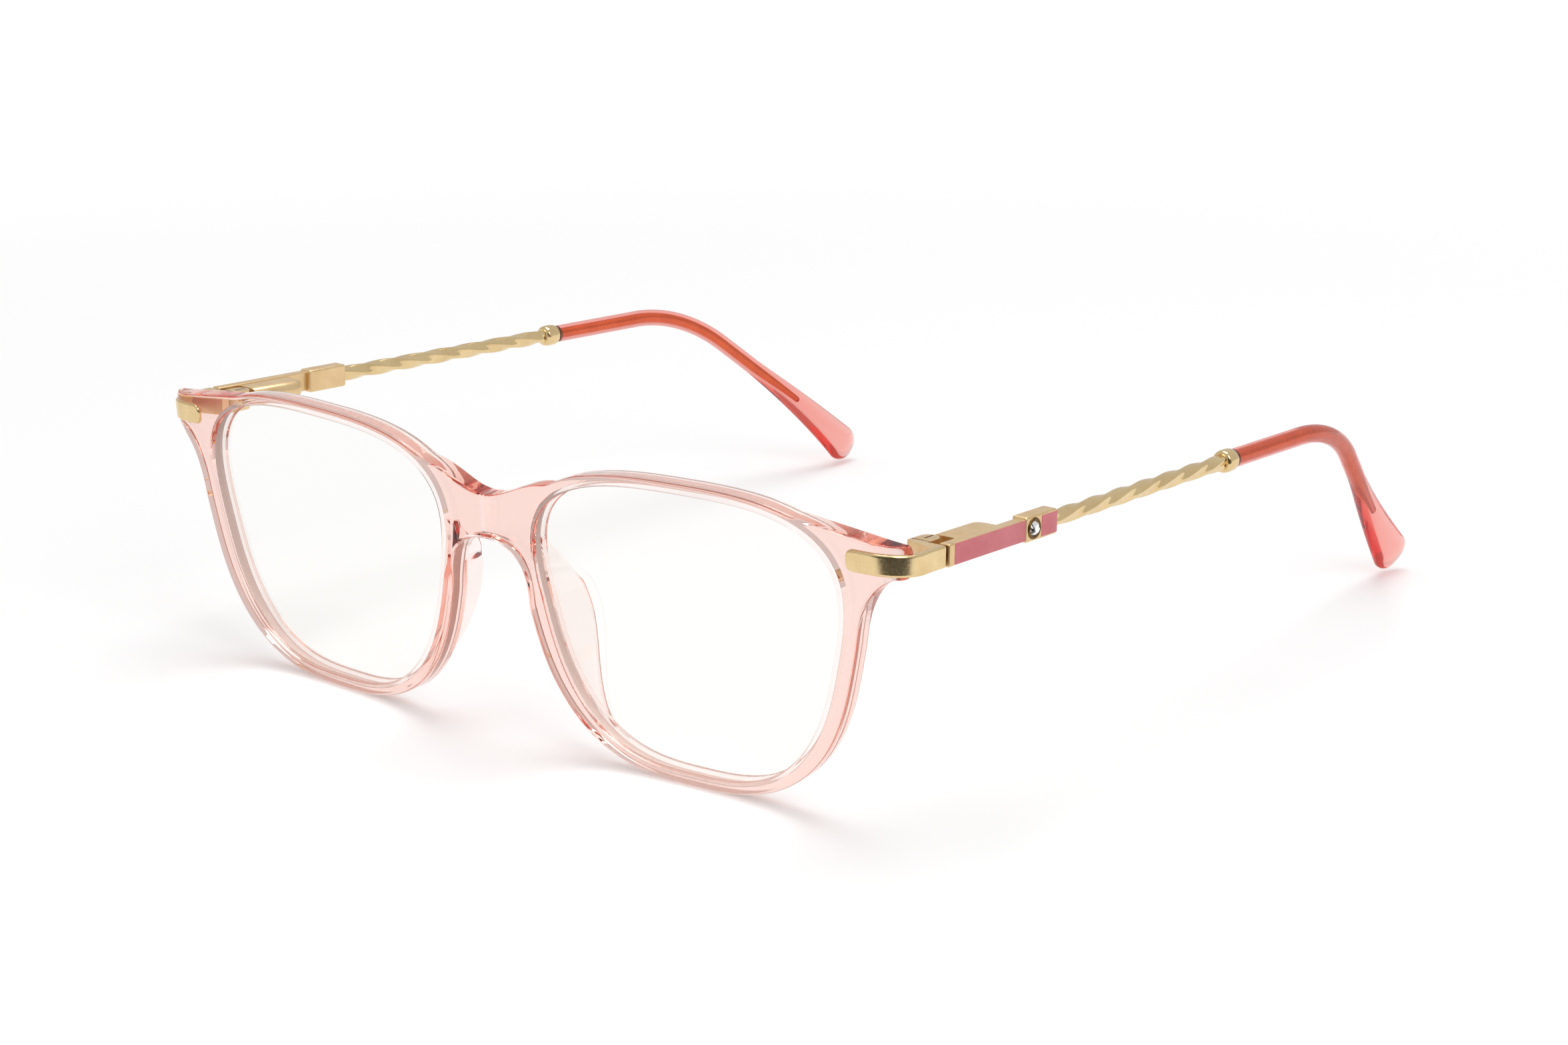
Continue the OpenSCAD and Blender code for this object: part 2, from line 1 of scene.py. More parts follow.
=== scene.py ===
# %% [markdown]
# # Spectacles with a clear pink front and gold temples
# The imported CAD model is loaded first, and its shapes stay as they are. Every surface made below is
# worked out in millimetres in the same frame, and is set on the body that carries it.

# %% Load the frame
import json
import math

import bmesh
import bpy
import numpy as np
from mathutils import Matrix, Vector


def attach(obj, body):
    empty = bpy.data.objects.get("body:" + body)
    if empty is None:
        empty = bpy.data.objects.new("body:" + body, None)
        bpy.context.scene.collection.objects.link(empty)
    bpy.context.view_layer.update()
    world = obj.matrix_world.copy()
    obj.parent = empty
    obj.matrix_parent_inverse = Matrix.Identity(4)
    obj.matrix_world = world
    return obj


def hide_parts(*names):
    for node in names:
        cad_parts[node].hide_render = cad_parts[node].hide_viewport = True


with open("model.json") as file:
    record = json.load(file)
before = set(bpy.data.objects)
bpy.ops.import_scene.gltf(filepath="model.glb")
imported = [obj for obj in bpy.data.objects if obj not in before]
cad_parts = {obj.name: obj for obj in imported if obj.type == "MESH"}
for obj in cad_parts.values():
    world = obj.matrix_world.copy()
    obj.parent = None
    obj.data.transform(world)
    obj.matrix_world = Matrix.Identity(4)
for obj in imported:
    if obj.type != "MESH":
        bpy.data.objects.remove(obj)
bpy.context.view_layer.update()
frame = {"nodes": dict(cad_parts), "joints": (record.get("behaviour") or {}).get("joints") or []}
MM = 0.001
SIDES = {"left": 1, "right": -1}
scene = bpy.context.scene

# %% [markdown]
# ## The camera
# A product photograph is taken from a little above and to one side with a long lens, which keeps
# the far temple from shrinking. The camera could be placed by eye, but azimuth, elevation and
# distance are easier to reason about. We build the three camera axes from those angles and write
# them as the columns of its matrix.

# %% Camera
VIEW_AZIMUTH = math.radians(39.75)
VIEW_ELEVATION = math.radians(15.86)
VIEW_ROLL = math.radians(-0.5)
VIEW_DISTANCE = 476.9
VIEW_TARGET = Vector((23.88, -40, 27.63))
FOCAL_MM = 79.67
SENSOR_MM = 36


def placed(name, data):
    """A new object with that data, linked to the scene."""
    made = bpy.data.objects.new(name, data)
    scene.collection.objects.link(made)
    return made


to_front = Vector((math.sin(VIEW_AZIMUTH), -math.cos(VIEW_AZIMUTH), 0))
toward_camera = math.cos(VIEW_ELEVATION) * to_front + Vector((0, 0, math.sin(VIEW_ELEVATION)))
level = Vector((math.cos(VIEW_AZIMUTH), math.sin(VIEW_AZIMUTH), 0))
camera_x = math.cos(VIEW_ROLL) * level + math.sin(VIEW_ROLL) * toward_camera.cross(level)
camera_y = toward_camera.cross(camera_x)
camera_data = bpy.data.cameras.new("photo_camera")
camera_data.lens = FOCAL_MM
camera_data.sensor_width = SENSOR_MM
camera_data.sensor_fit = "HORIZONTAL"
camera_data.clip_start = 0.01
camera = placed("photo_camera", camera_data)
camera_place = (VIEW_TARGET + VIEW_DISTANCE * toward_camera) * MM
turn = Matrix((camera_x, camera_y, toward_camera)).transposed()
camera.matrix_world = Matrix.Translation(camera_place) @ turn.to_4x4()
scene.camera = camera
scene.view_settings.view_transform = "Standard"
# A ray runs round inside clear plastic many times before it comes out. Cut off early, it turns black.
scene.cycles.max_bounces = 24
scene.cycles.glossy_bounces = 16
scene.cycles.transmission_bounces = 24
print("camera at", [round(c / MM, 1) for c in camera_place], "mm")

# %% [markdown]
# ## Helpers for shader nodes
# A node tree is easier to read when each node takes one line. `add` makes a node of any kind, sets its
# values and links its inputs, so no kind needs a helper of its own. Colours are written as sRGB hex,
# the way a colour picker shows them, and turned into the linear values that shaders use. The scale of a
# pattern is worked out from the real size of its grains.

# %% Shader helpers
# A Mix node has sockets for every type of value, and these are the numbers of those for colours.
MIX_FIRST = 6
MIX_SECOND = 7
MIX_RESULT = 2


def srgb(code):
    """Linear RGBA of a hex colour: below 0.04045 a straight line, above it a power of 2.4."""
    share = np.array([int(code[k : k + 2], 16) for k in (0, 2, 4)]) / 255
    line = np.where(share <= 0.04045, share / 12.92, ((share + 0.055) / 1.055) ** 2.4)
    return (*line.tolist(), 1.0)


def add(tree, kind, given=None, **settings):
    """A new shader node of that kind. A setting is a property or an input. What is given goes to an input
    by its name or number: a socket, a node, which stands for its first output, or a plain value."""
    node = tree.nodes.new("ShaderNode" + kind)
    for name, value in settings.items():
        if hasattr(node, name):
            setattr(node, name, value)
        else:
            node.inputs[name.replace("_", " ")].default_value = value
    for name, source in (given or {}).items():
        if isinstance(source, bpy.types.Node):
            source = source.outputs[0]
        if isinstance(source, bpy.types.NodeSocket):
            tree.links.new(source, node.inputs[name])
        else:
            node.inputs[name].default_value = source
    return node


def empty_material(name):
    """A material with an empty node tree, and that tree."""
    made = bpy.data.materials.new(name)
    made.use_nodes = True
    made.node_tree.nodes.clear()
    return made, made.node_tree


def grain(size_mm):
    """Scale of a pattern on Object coordinates, which are in metres, for grains of that size."""
    return 1 / (size_mm * MM)


print("shader helpers ready")

# %% [markdown]
# ## Clear plastics
# The front is injection-moulded from a clear pink polymer, and the tips from a deeper coral one.
# Such a plastic has no surface colour of its own: light that passes through more of it comes out
# redder, which is why thin faces look pale and long edges look salmon. A Volume Absorption inside a
# clear Principled surface does just that. The absorption is worked out from the colour that a plate
# of known thickness shows. Rays from lamps are only tinted, so the shadow stays light.


# %% Clear plastics
def absorption(code, depth_mm):
    """Density and colour of a volume that lets that colour through a plate of that depth.
    Light falls off as exp(-density * (1 - colour) * depth), so density is the largest rate."""
    rate = -np.log(srgb(code)[:3]) / (depth_mm * MM)
    return rate.max(), (*(1 - rate / rate.max()).tolist(), 1.0)


def clear_plastic(name, code, depth_mm, roughness, shadow_code):
    """Polished clear plastic of refractive index 1.49 with a moulding's faint waviness."""
    made, tree = empty_material(name)
    place = {"Vector": add(tree, "TexCoord").outputs["Object"]}
    waves = add(tree, "TexNoise", place, Scale=grain(4), Detail=2.0)
    bump = add(tree, "Bump", {"Height": waves}, Strength=0.12, Distance=0.05 * MM)
    body = add(
        tree, "BsdfPrincipled", {"Normal": bump},
        Base_Color=(1, 1, 1, 1), Roughness=roughness, IOR=1.49, Transmission_Weight=1.0,
    )
    tinted = add(tree, "BsdfTransparent", Color=srgb(shadow_code))
    from_lamp = add(tree, "LightPath").outputs["Is Shadow Ray"]
    surface = add(tree, "MixShader", {0: from_lamp, 1: body, 2: tinted})
    density, colour = absorption(code, depth_mm)
    inside = add(tree, "VolumeAbsorption", Color=colour, Density=density)
    add(tree, "OutputMaterial", {"Surface": surface, "Volume": inside})
    return made


# The front looks pale pink in its faces and salmon along its edges. The tips look coral all over.
front_plastic = clear_plastic("clear_pink_polymer", "FBDFD7", 3.4, 0.02, "DDBFB6")
tip_plastic = clear_plastic("clear_coral_acetate", "F8B4AB", 2.2, 0.03, "A87C76")
print("plastics:", front_plastic.name, tip_plastic.name)

# %% [markdown]
# ## Lens
# The lens is a thin clear polymer plate with an anti-reflection coat, so it should all but vanish over
# a white ground. A low index keeps its mirror image faint, as the coat does. Most of what the camera
# sees comes straight through it, so that share is a Transparent shader and meets the white world.


# %% Lens material
STRAIGHT_THROUGH = 0.9


def lens_material():
    """Coated clear lens: a low index for the faint reflection and a trace of warm tint."""
    made, tree = empty_material("coated_lens")
    place = {"Vector": add(tree, "TexCoord").outputs["Object"]}
    film = add(tree, "TexNoise", place, Scale=grain(12), Detail=1.0)
    haze = add(tree, "MapRange", {"Value": film}, To_Min=0.0, To_Max=0.02)
    body = add(
        tree, "BsdfPrincipled", {"Roughness": haze},
        Base_Color=srgb("FEFEFD"), IOR=1.12, Transmission_Weight=1.0,
    )
    straight = add(tree, "BsdfTransparent", Color=srgb("FEFEFD"))
    path = add(tree, "LightPath")
    seen_through = add(tree, "MapRange", {"Value": path.outputs["Is Camera Ray"]}, To_Max=STRAIGHT_THROUGH)
    share = add(tree, "Math", {0: seen_through, 1: path.outputs["Is Shadow Ray"]}, operation="MAXIMUM")
    surface = add(tree, "MixShader", {0: share, 1: body, 2: straight})
    add(tree, "OutputMaterial", {"Surface": surface})
    return made


coated_lens = lens_material()
print("lens:", coated_lens.name)

# %% [markdown]
# ## Metals
# The metal is a copper alloy with a pale gold plate. The flat pieces were tumbled, which leaves a
# satin surface with a fine sparkle, and the rods were polished. A noise of about a tenth of a
# millimetre moves the roughness and a slight bump together, drawn a little coarser than the real
# grain so that it shows. The colour follows it too, with wider clouds on top.


# %% Metals
def plated_metal(name, dark, pale, rough, spread, grain_mm, bump_mm):
    """Metal whose colour runs between two shades and whose roughness spreads about a value."""
    made, tree = empty_material(name)
    place = {"Vector": add(tree, "TexCoord").outputs["Object"]}
    speck = add(tree, "TexNoise", place, Scale=grain(grain_mm), Detail=3.0, Roughness=0.6)
    cloud = add(tree, "TexNoise", place, Scale=grain(3), Detail=2.0)
    both = add(tree, "Math", {0: speck, 1: cloud}, operation="ADD")
    share = add(tree, "MapRange", {"Value": both}, From_Min=0.7, From_Max=1.3)
    colours = {0: share, MIX_FIRST: srgb(dark), MIX_SECOND: srgb(pale)}
    shade = add(tree, "Mix", colours, data_type="RGBA").outputs[MIX_RESULT]
    polish = add(
        tree, "MapRange", {"Value": speck},
        From_Min=0.3, From_Max=0.7, To_Min=rough - spread, To_Max=rough + spread,
    )
    bump = add(tree, "Bump", {"Height": speck}, Strength=0.4, Distance=bump_mm * MM)
    looks = {"Base Color": shade, "Roughness": polish, "Normal": bump}
    body = add(tree, "BsdfPrincipled", looks, Metallic=1.0)
    add(tree, "OutputMaterial", {"Surface": body})
    return made


# Pale gold with a fine sparkle, on the flat stampings, and the same gold polished, on strips and rods.
satin_gold = plated_metal("satin_gold_plate", "DDBC8A", "EED2A4", 0.36, 0.07, 0.12, 0.012)
polished_gold = plated_metal("polished_gold_plate", "DCBF8C", "ECD3A2", 0.14, 0.04, 0.2, 0.004)
# Dark brown, round the stone and on the core's sleeve, where it is partly painted shade of the
# ferrule's end seen through the plastic. Plain grey, inside the hinge. Orange, as a wire looks in coral
# plastic.
bronze = plated_metal("dark_bronze_bezel", "5E4326", "8A6A40", 0.3, 0.05, 0.12, 0.008)
plain_steel = plated_metal("drawn_spring_steel", "9A9A98", "C4C4C0", 0.25, 0.05, 0.15, 0.004)
core_bronze = plated_metal("drawn_core_wire", "DC7838", "F08C48", 0.3, 0.05, 0.15, 0.004)
print("metals:", satin_gold.name, polished_gold.name, bronze.name, plain_steel.name, core_bronze.name)

# %% [markdown]
# ## Enamel, stone, pale film and ground edge
# The pink fields on the temples are baked enamel, filled nearly level with the metal and slightly matt. The
# stone is a foiled crystal: light comes back from the foil, so its facets look like small mirrors. Darker
# and paler cells in its colour are painted reflection. Where metal is set into clear plastic, a pale film
# lies on it. It is seen through the plastic and its colour paints the glow of lit plastic: without it the
# back of the polished metal would look black from inside. The edge of a lens is ground dull. The film and
# the ground edge are both a dull colour with a fine noise, so one function does.


# %% Enamel, stone and dull films
def enamel_material():
    """Baked pink enamel: faint cloudiness in the colour and a soft, slightly uneven gloss."""
    made, tree = empty_material("baked_pink_enamel")
    place = {"Vector": add(tree, "TexCoord").outputs["Object"]}
    fleck = add(tree, "TexNoise", place, Scale=grain(0.25), Detail=4.0)
    cloud = add(tree, "TexNoise", place, Scale=grain(2.5), Detail=2.0)
    both = add(tree, "Math", {0: fleck, 1: cloud}, operation="ADD")
    share = add(tree, "MapRange", {"Value": both}, From_Min=0.75, From_Max=1.25)
    colours = {0: share, MIX_FIRST: srgb("C9656C"), MIX_SECOND: srgb("D2747B")}
    shade = add(tree, "Mix", colours, data_type="RGBA").outputs[MIX_RESULT]
    gloss = add(tree, "MapRange", {"Value": fleck}, To_Min=0.3, To_Max=0.45)
    bump = add(tree, "Bump", {"Height": fleck}, Strength=0.2, Distance=0.01 * MM)
    looks = {"Base Color": shade, "Roughness": gloss, "Normal": bump}
    body = add(tree, "BsdfPrincipled", looks, IOR=1.5)
    add(tree, "OutputMaterial", {"Surface": body})
    return made


def stone_material():
    """Foiled crystal: mirror-like facets, whose colour has darker and paler cells as painted reflection."""
    made, tree = empty_material("foiled_crystal")
    place = {"Vector": add(tree, "TexCoord").outputs["Object"]}
    # Darker and paler cells in the colour are painted reflection on the facets.
    painted_reflection_cells = add(tree, "TexVoronoi", place, Scale=grain(0.55)).outputs["Color"]
    red = add(tree, "SeparateColor", {"Color": painted_reflection_cells})
    shade = add(
        tree, "MapRange", {"Value": red}, interpolation_type="SMOOTHSTEP",
        From_Min=0.15, From_Max=0.5, To_Min=0.12, To_Max=0.95,
    )
    body = add(tree, "BsdfPrincipled", {"Base Color": shade}, Metallic=1.0, Roughness=0.06)
    add(tree, "OutputMaterial", {"Surface": body})
    return made


def dull_film(name, dark, pale, grain_mm, detail, roughness):
    """A dull surface whose colour runs between two shades."""
    made, tree = empty_material(name)
    place = {"Vector": add(tree, "TexCoord").outputs["Object"]}
    grit = add(tree, "TexNoise", place, Scale=grain(grain_mm), Detail=detail)
    colours = {0: grit, MIX_FIRST: srgb(dark), MIX_SECOND: srgb(pale)}
    shade = add(tree, "Mix", colours, data_type="RGBA").outputs[MIX_RESULT]
    body = add(tree, "BsdfPrincipled", {"Base Color": shade}, Roughness=roughness)
    add(tree, "OutputMaterial", {"Surface": body})
    return made


pink_enamel = enamel_material()
foiled_crystal = stone_material()
# The pale warm film, with faint streaks, is painted glow of lit plastic. The ground edge is finely grainy
# and warm grey.
painted_glow_film = dull_film("painted_glow_film", "EBA488", "F6BFA6", 0.8, 3.0, 0.5)
ground_edge = dull_film("ground_lens_edge", "CDB1A8", "DEC8C0", 0.15, 2.0, 0.6)
print("trim:", pink_enamel.name, foiled_crystal.name, painted_glow_film.name, ground_edge.name)

# %% [markdown]
# ## From a grid of points to a piece
# Most of the pieces are tubes: rows of points that close on themselves, stacked from end to end. Such
# a grid can be written as one numpy array, and its faces follow from the row and column numbers. The
# ends are drawn in to a point, and merging doubles closes the seams. Normals are then turned outwards,
# and edges that turn sharply stay crisp. The right piece of a pair is the mirror image of the left one.

# %% Mesh helpers
SEAM = 1e-4
MERGE_MM = 0.002


def grid_faces(rows, columns, closed):
    """Quads of a grid whose columns wrap round, and whose rows wrap round too where closed."""
    number = np.arange(rows * columns).reshape(rows, columns)
    number = np.concatenate([number, number[:, :1]], 1)
    if closed:
        number = np.concatenate([number, number[:1]])
    corners = [number[:-1, :-1], number[:-1, 1:], number[1:, 1:], number[1:, :-1]]
    return np.stack(corners, -1).reshape(-1, 4)


def capped(rows):
    """A stack of closed rows with a point added at each end, in the middle of the end row."""
    first = np.repeat(rows[:1].mean(1, keepdims=True), rows.shape[1], 1)
    last = np.repeat(rows[-1:].mean(1, keepdims=True), rows.shape[1], 1)
    return np.concatenate([first, rows, last])


def piece(name, grids, materials, body, nodes, crisp=35, flat=False, drop_seam=False):
    """A mesh object from grids in mm: each is (points, number of its material, closed rows). Edges that
    turn by more than crisp degrees stay sharp, and with drop_seam no face is left in the middle plane."""
    points, faces, numbers = [], [], []
    count = 0
    for rows, number, closed in grids:
        flat_points = rows.reshape(-1, 3)
        quads = grid_faces(rows.shape[0], rows.shape[1], closed)
        if drop_seam:
            on_seam = np.abs(flat_points[:, 0]) < SEAM
            quads = quads[~on_seam[quads].all(1)]
        faces.append(quads + count)
        points.append(flat_points)
        numbers.append(np.full(len(quads), number))
        count += len(flat_points)
    mesh = bpy.data.meshes.new(name)
    mesh.from_pydata((np.concatenate(points) * MM).tolist(), [], np.concatenate(faces).tolist())
    for material in materials:
        mesh.materials.append(material)
    mesh.polygons.foreach_set("material_index", np.concatenate(numbers))
    work = bmesh.new()
    work.from_mesh(mesh)
    bmesh.ops.remove_doubles(work, verts=work.verts, dist=MERGE_MM * MM)
    bmesh.ops.dissolve_degenerate(work, edges=work.edges, dist=MERGE_MM * MM / 10)
    bmesh.ops.recalc_face_normals(work, faces=work.faces)
    loose = sum(1 for edge in work.edges if len(edge.link_faces) != 2)
    work.to_mesh(mesh)
    work.free()
    if not flat:
        mesh.shade_smooth()
        mesh.set_sharp_from_angle(angle=math.radians(crisp))
    made = placed(name, mesh)
    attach(made, body)
    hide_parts(*nodes)
    print(f"{name}: {len(mesh.polygons)} faces, {loose} open edges")


def mirrored(points, side):
    """The same points on the named side."""
    return points * np.array([SIDES[side], 1, 1])


def pair(name, grids, materials, node, on_front=False, flat=False):
    """A piece on each temple, or at each side of the front. An empty node stands for no CAD node."""
    for side in SIDES:
        turned = [(mirrored(rows, side), number, closed) for rows, number, closed in grids]
        body = "front" if on_front else f"{side}_temple"
        nodes = [f"{side}_{node}"] if node else []
        piece(f"{side}_{name}", turned, materials, body, nodes, flat=flat)


print("mesh helpers ready")

# %% [markdown]
# ## Sizes
# The sizes are those of the CAD model. They stand in one list, because the front, the endpieces and the
# temples share them, and a piece that has to meet another one takes its place from the same value.

# %% Driving sizes in millimetres and degrees
LENS_W = 51
LENS_H = 40
LENS_T = 1.8
LENS_SQUARE = 2.9
LENS_TAPER = 0.2
BROW_LIFT = 0.35
BRIDGE_W = 16
BRIDGE_BEND = 6
RIM_D = 3.2
RIM_TOP = 1.5
RIM_LOW = 1.8
RIM_SIDE = 3
GROOVE = 0.7
WRAP = math.radians(3.4)
LEAN = math.radians(3.4)
SADDLE_Z = 14.2
ARCH_Z = 7.8
ARCH_SQUARE = 2.6
PAD_REACH = 5.7
PAD_L = 27
PAD_RISE = 3
PAD_SKEW = 0.82
PAD_T = 1.4
PAD_SPLAY = math.radians(18)
LUG_REACH = 9.7
LUG_H = 4.4
LUG_Z = 15.1
LUG_TURN = math.radians(60)
CORNER_R = 5.5
STRIP_T = 1
STRIP_OUT = 0.4
STRIP_FRONT = 1.8
HINGE_IN = 4.3
HINGE_BACK = 5.6
HINGE_DROP = 1.1
BUTT_GAP = 0.55
BUTT_AHEAD = 2
BAR_H = 2.9
# Clearance between pieces that sit in one another.
SEAT = 0.02

lens_x = (LENS_W + BRIDGE_W) / 2
lug_x = lens_x + LENS_W / 2 + LUG_REACH
corner_x = lug_x - CORNER_R
lens_front = (RIM_D - LENS_T) / 2
print("lens centre", lens_x, "side of the lug", lug_x)

# %% [markdown]
# ## Two frames
# Two frames are enough for every piece. One follows the half front, which leans and sweeps back a
# little. The other follows the temple, with its axes taken from the hinge and the sprung slide. Points
# could be moved by object transforms instead, but a function from flat sizes to the frame can also
# bend: it rolls the lug and the endpiece round the corner.


# %% The two frames
def eased(q):
    """Share that starts and ends level: 3q^2 - 2q^3 between 0 and 1."""
    q = np.clip(q, 0, 1)
    return q * q * (3 - 2 * q)


def unit(vectors):
    """The same directions, with length one."""
    return vectors / np.linalg.norm(vectors, axis=-1, keepdims=True)


joints = {joint["name"]: joint for joint in frame["joints"]}
hinge = np.array(joints["left_fold"]["pos_m"]) / MM
up = unit(np.array(joints["left_fold"]["axis"]))
back = unit(np.array(joints["left_flex"]["axis"]))
out = np.cross(back, up)


def temple_place(l, a, w):
    """Point at l out of the hinge axis, a behind it along the slide and w up the axis."""
    l, a, w = np.broadcast_arrays(l, a, w)
    return hinge + l[..., None] * out + a[..., None] * back + w[..., None] * up


def leaned(x, y, z):
    """Point turned about the x axis by the front's lean."""
    far = y * math.cos(LEAN) - z * math.sin(LEAN)
    return np.stack([x, far, y * math.sin(LEAN) + z * math.cos(LEAN)], -1)


hinge_u = lug_x + STRIP_OUT - HINGE_IN
hinge_d = CORNER_R + HINGE_BACK
front_origin = hinge - leaned(
    hinge_u * math.cos(WRAP) - hinge_d * math.sin(WRAP),
    hinge_u * math.sin(WRAP) + hinge_d * math.cos(WRAP),
    LUG_Z - HINGE_DROP,
)


def front_place(u, d, v):
    """Point at u out from the middle, d behind the front face and v over the lens centres.
    The half front sweeps back by the wrap angle, and near the middle the sweep is a parabola."""
    x = u * math.cos(WRAP) - d * math.sin(WRAP) * eased(u / BRIDGE_BEND)
    bowl = (u * u + BRIDGE_BEND**2) / (2 * BRIDGE_BEND)
    sweep = np.where(u < BRIDGE_BEND, bowl, u)
    y = sweep * math.sin(WRAP) + d * math.cos(WRAP)
    return front_origin + leaned(x, y, v + 0 * x)


def bent_place(u, d, v):
    """Point of the flat front, with what lies past the corner rolled round it."""
    turn = np.clip((u - corner_x) / CORNER_R, 0, math.pi / 2)
    rolled_x = corner_x + (CORNER_R - d) * np.sin(turn)
    rolled_y = CORNER_R - (CORNER_R - d) * np.cos(turn)
    past = u > corner_x
    return front_place(np.where(past, rolled_x, u), np.where(past, rolled_y, d), v)


def lug_place(u, d, v):
    """Point of the flat front, with the face past the corner rolled round it and the back left flat."""
    turn = np.clip((u - corner_x) / CORNER_R, 0, LUG_TURN)
    face = CORNER_R * (1 - np.cos(turn))
    rolled_x = np.where(u > corner_x, corner_x + CORNER_R * np.sin(turn), u)
    return front_place(rolled_x, face + d * (1 - face / RIM_D), v)


print("hinge at", hinge.round(3), "front origin", front_origin.round(3))

# %% [markdown]
# ## Lines
# An outline is a list of points, and the same few steps come back for every one: its length, points at
# chosen lengths, the direction out of it and a softening. A curve object could do some of this, but on
# numpy arrays each step is a line or two and the result can be measured at once.


# %% Line helpers
def along(points):
    """Length of a line of points up to each of them."""
    steps = np.linalg.norm(np.diff(points, axis=0), axis=1)
    return np.concatenate([[0], np.cumsum(steps)])


def at_lengths(line, length, at):
    """Every column of a line, read off at other lengths."""
    return np.stack([np.interp(at, length, column) for column in line.T], -1)


def outward_of(tangent):
    """Unit vectors to the right of a direction, which point outwards where a line runs round."""
    return unit(np.stack([tangent[..., 1], -tangent[..., 0]], -1))


def softened(line, weight, flip):
    """A line averaged with its neighbours. Past each end it goes on as its own image, in which a column
    is turned over where flip is -1."""
    reach = len(weight) // 2
    before = line[0] + flip * (line[reach:0:-1] - line[0])
    after = line[-1] + flip * (line[-2 : -reach - 2 : -1] - line[-1])
    padded = np.concatenate([before, line, after])
    return np.stack([np.convolve(column, weight / weight.sum(), "valid") for column in padded.T], -1)


def full_turn(count):
    """Angles at equal steps round a circle."""
    return np.linspace(0, 2 * math.pi, count, endpoint=False)


def round_end(q, least=0.02):
    """Radius left at share q of a round end: the root of 1 - q^2, but never under the least."""
    return np.sqrt(np.maximum(1 - np.maximum(q, 0) ** 2, least**2))


print("line helpers ready")

# %% [markdown]
# ## Outlines of the front
# The lens outline is a superellipse that widens towards the brow. The rim adds a width that depends on
# the direction of the outline's normal: thin over the brow, wider at the sides. The outer contour then
# leaves the rim for the lug and for the bridge. It is put together from those runs, resampled evenly
# and softened, so that the inner corners get the small radii that a mould has.

# %% Outlines
LUG_ROUND = 1
ARCH_T = math.radians(168)
FOOT_T = math.radians(180)
LUG_FOOT_T = math.radians(366)
LUG_TOP_T = math.radians(420)
BRIDGE_T = math.radians(492)
SADDLE_T = math.radians(510)
NORMAL_REACH = math.radians(2)
CONTOUR_STEP = 0.4
SOFTENING = 0.5


def signed_power(value, power):
    """Power of the size of a value, with its sign kept."""
    return np.sign(value) * np.abs(value) ** power


def blank(t):
    """Superellipse of half height 1 whose width grows with height."""
    x = signed_power(np.cos(t), 2 / LENS_SQUARE)
    y = signed_power(np.sin(t), 2 / LENS_SQUARE)
    return x * (1 + LENS_TAPER * y), y


blank_half = blank(np.linspace(0, 2 * math.pi, 721))[0].max()


def lens_curve(t):
    """The lens outline at angle t: the blank stretched to the lens, with its outer brow lifted."""
    x, y = blank(t)
    x = x / blank_half
    return np.stack([lens_x + LENS_W / 2 * x, LENS_H / 2 * y + BROW_LIFT * x * np.maximum(y, 0)], -1)


def lens_normal(t):
    """Outward normal of the lens outline, from the chord across a few degrees."""
    return outward_of(lens_curve(t + NORMAL_REACH) - lens_curve(t - NORMAL_REACH))


def rim_curve(t):
    """Outer edge of the plain rim: the lens outline moved out by the rim's width less the groove."""
    normal = lens_normal(t)
    upright_width = np.where(normal[..., 1] > 0, RIM_TOP, RIM_LOW)
    width = RIM_SIDE * normal[..., 0] ** 2 + upright_width * normal[..., 1] ** 2
    return lens_curve(t) + (width - GROOVE)[..., None] * normal


def unrolled(points):
    """Points of the front's face view, with u measured along the corner's bend."""
    u = points[:, 0]
    turn = np.arcsin(np.clip((u - corner_x) / CORNER_R, 0, 1))
    return np.stack([np.where(u > corner_x, corner_x + CORNER_R * turn, u), points[:, 1]], -1)


def corner_arc(centre, first, last):
    """Points of a rounding of the lug between two angles in degrees."""
    angle = np.radians(np.linspace(first, last, 9))
    return np.array(centre) + LUG_ROUND * np.stack([np.cos(angle), np.sin(angle)], -1)


def lug_run():
    """Edge of the lug: a curved lower edge, a rounded end behind the corner and a straight top."""
    high = LUG_Z + LUG_H / 2
    low = LUG_Z - LUG_H / 2
    foot = rim_curve(LUG_FOOT_T)
    q = np.linspace(0, 1, 60)[:, None]
    bow = np.array([foot[0] + LUG_ROUND, low - LUG_H / 2])
    lug_end = corner_x + CORNER_R * math.sin(LUG_TURN)
    under = (1 - q) ** 2 * foot + 2 * q * (1 - q) * bow + q**2 * np.array([lug_end - 2 * LUG_ROUND, low])
    over = (1 - q) * np.array([lug_end - LUG_ROUND, high]) + q * rim_curve(LUG_TOP_T)
    end = corner_x + CORNER_R * LUG_TURN - LUG_ROUND
    lower_arc = corner_arc([end, low + LUG_ROUND], -90, 0)
    upper_arc = corner_arc([end, high - LUG_ROUND], 0, 90)
    return np.concatenate([unrolled(under), lower_arc, upper_arc, unrolled(over)])


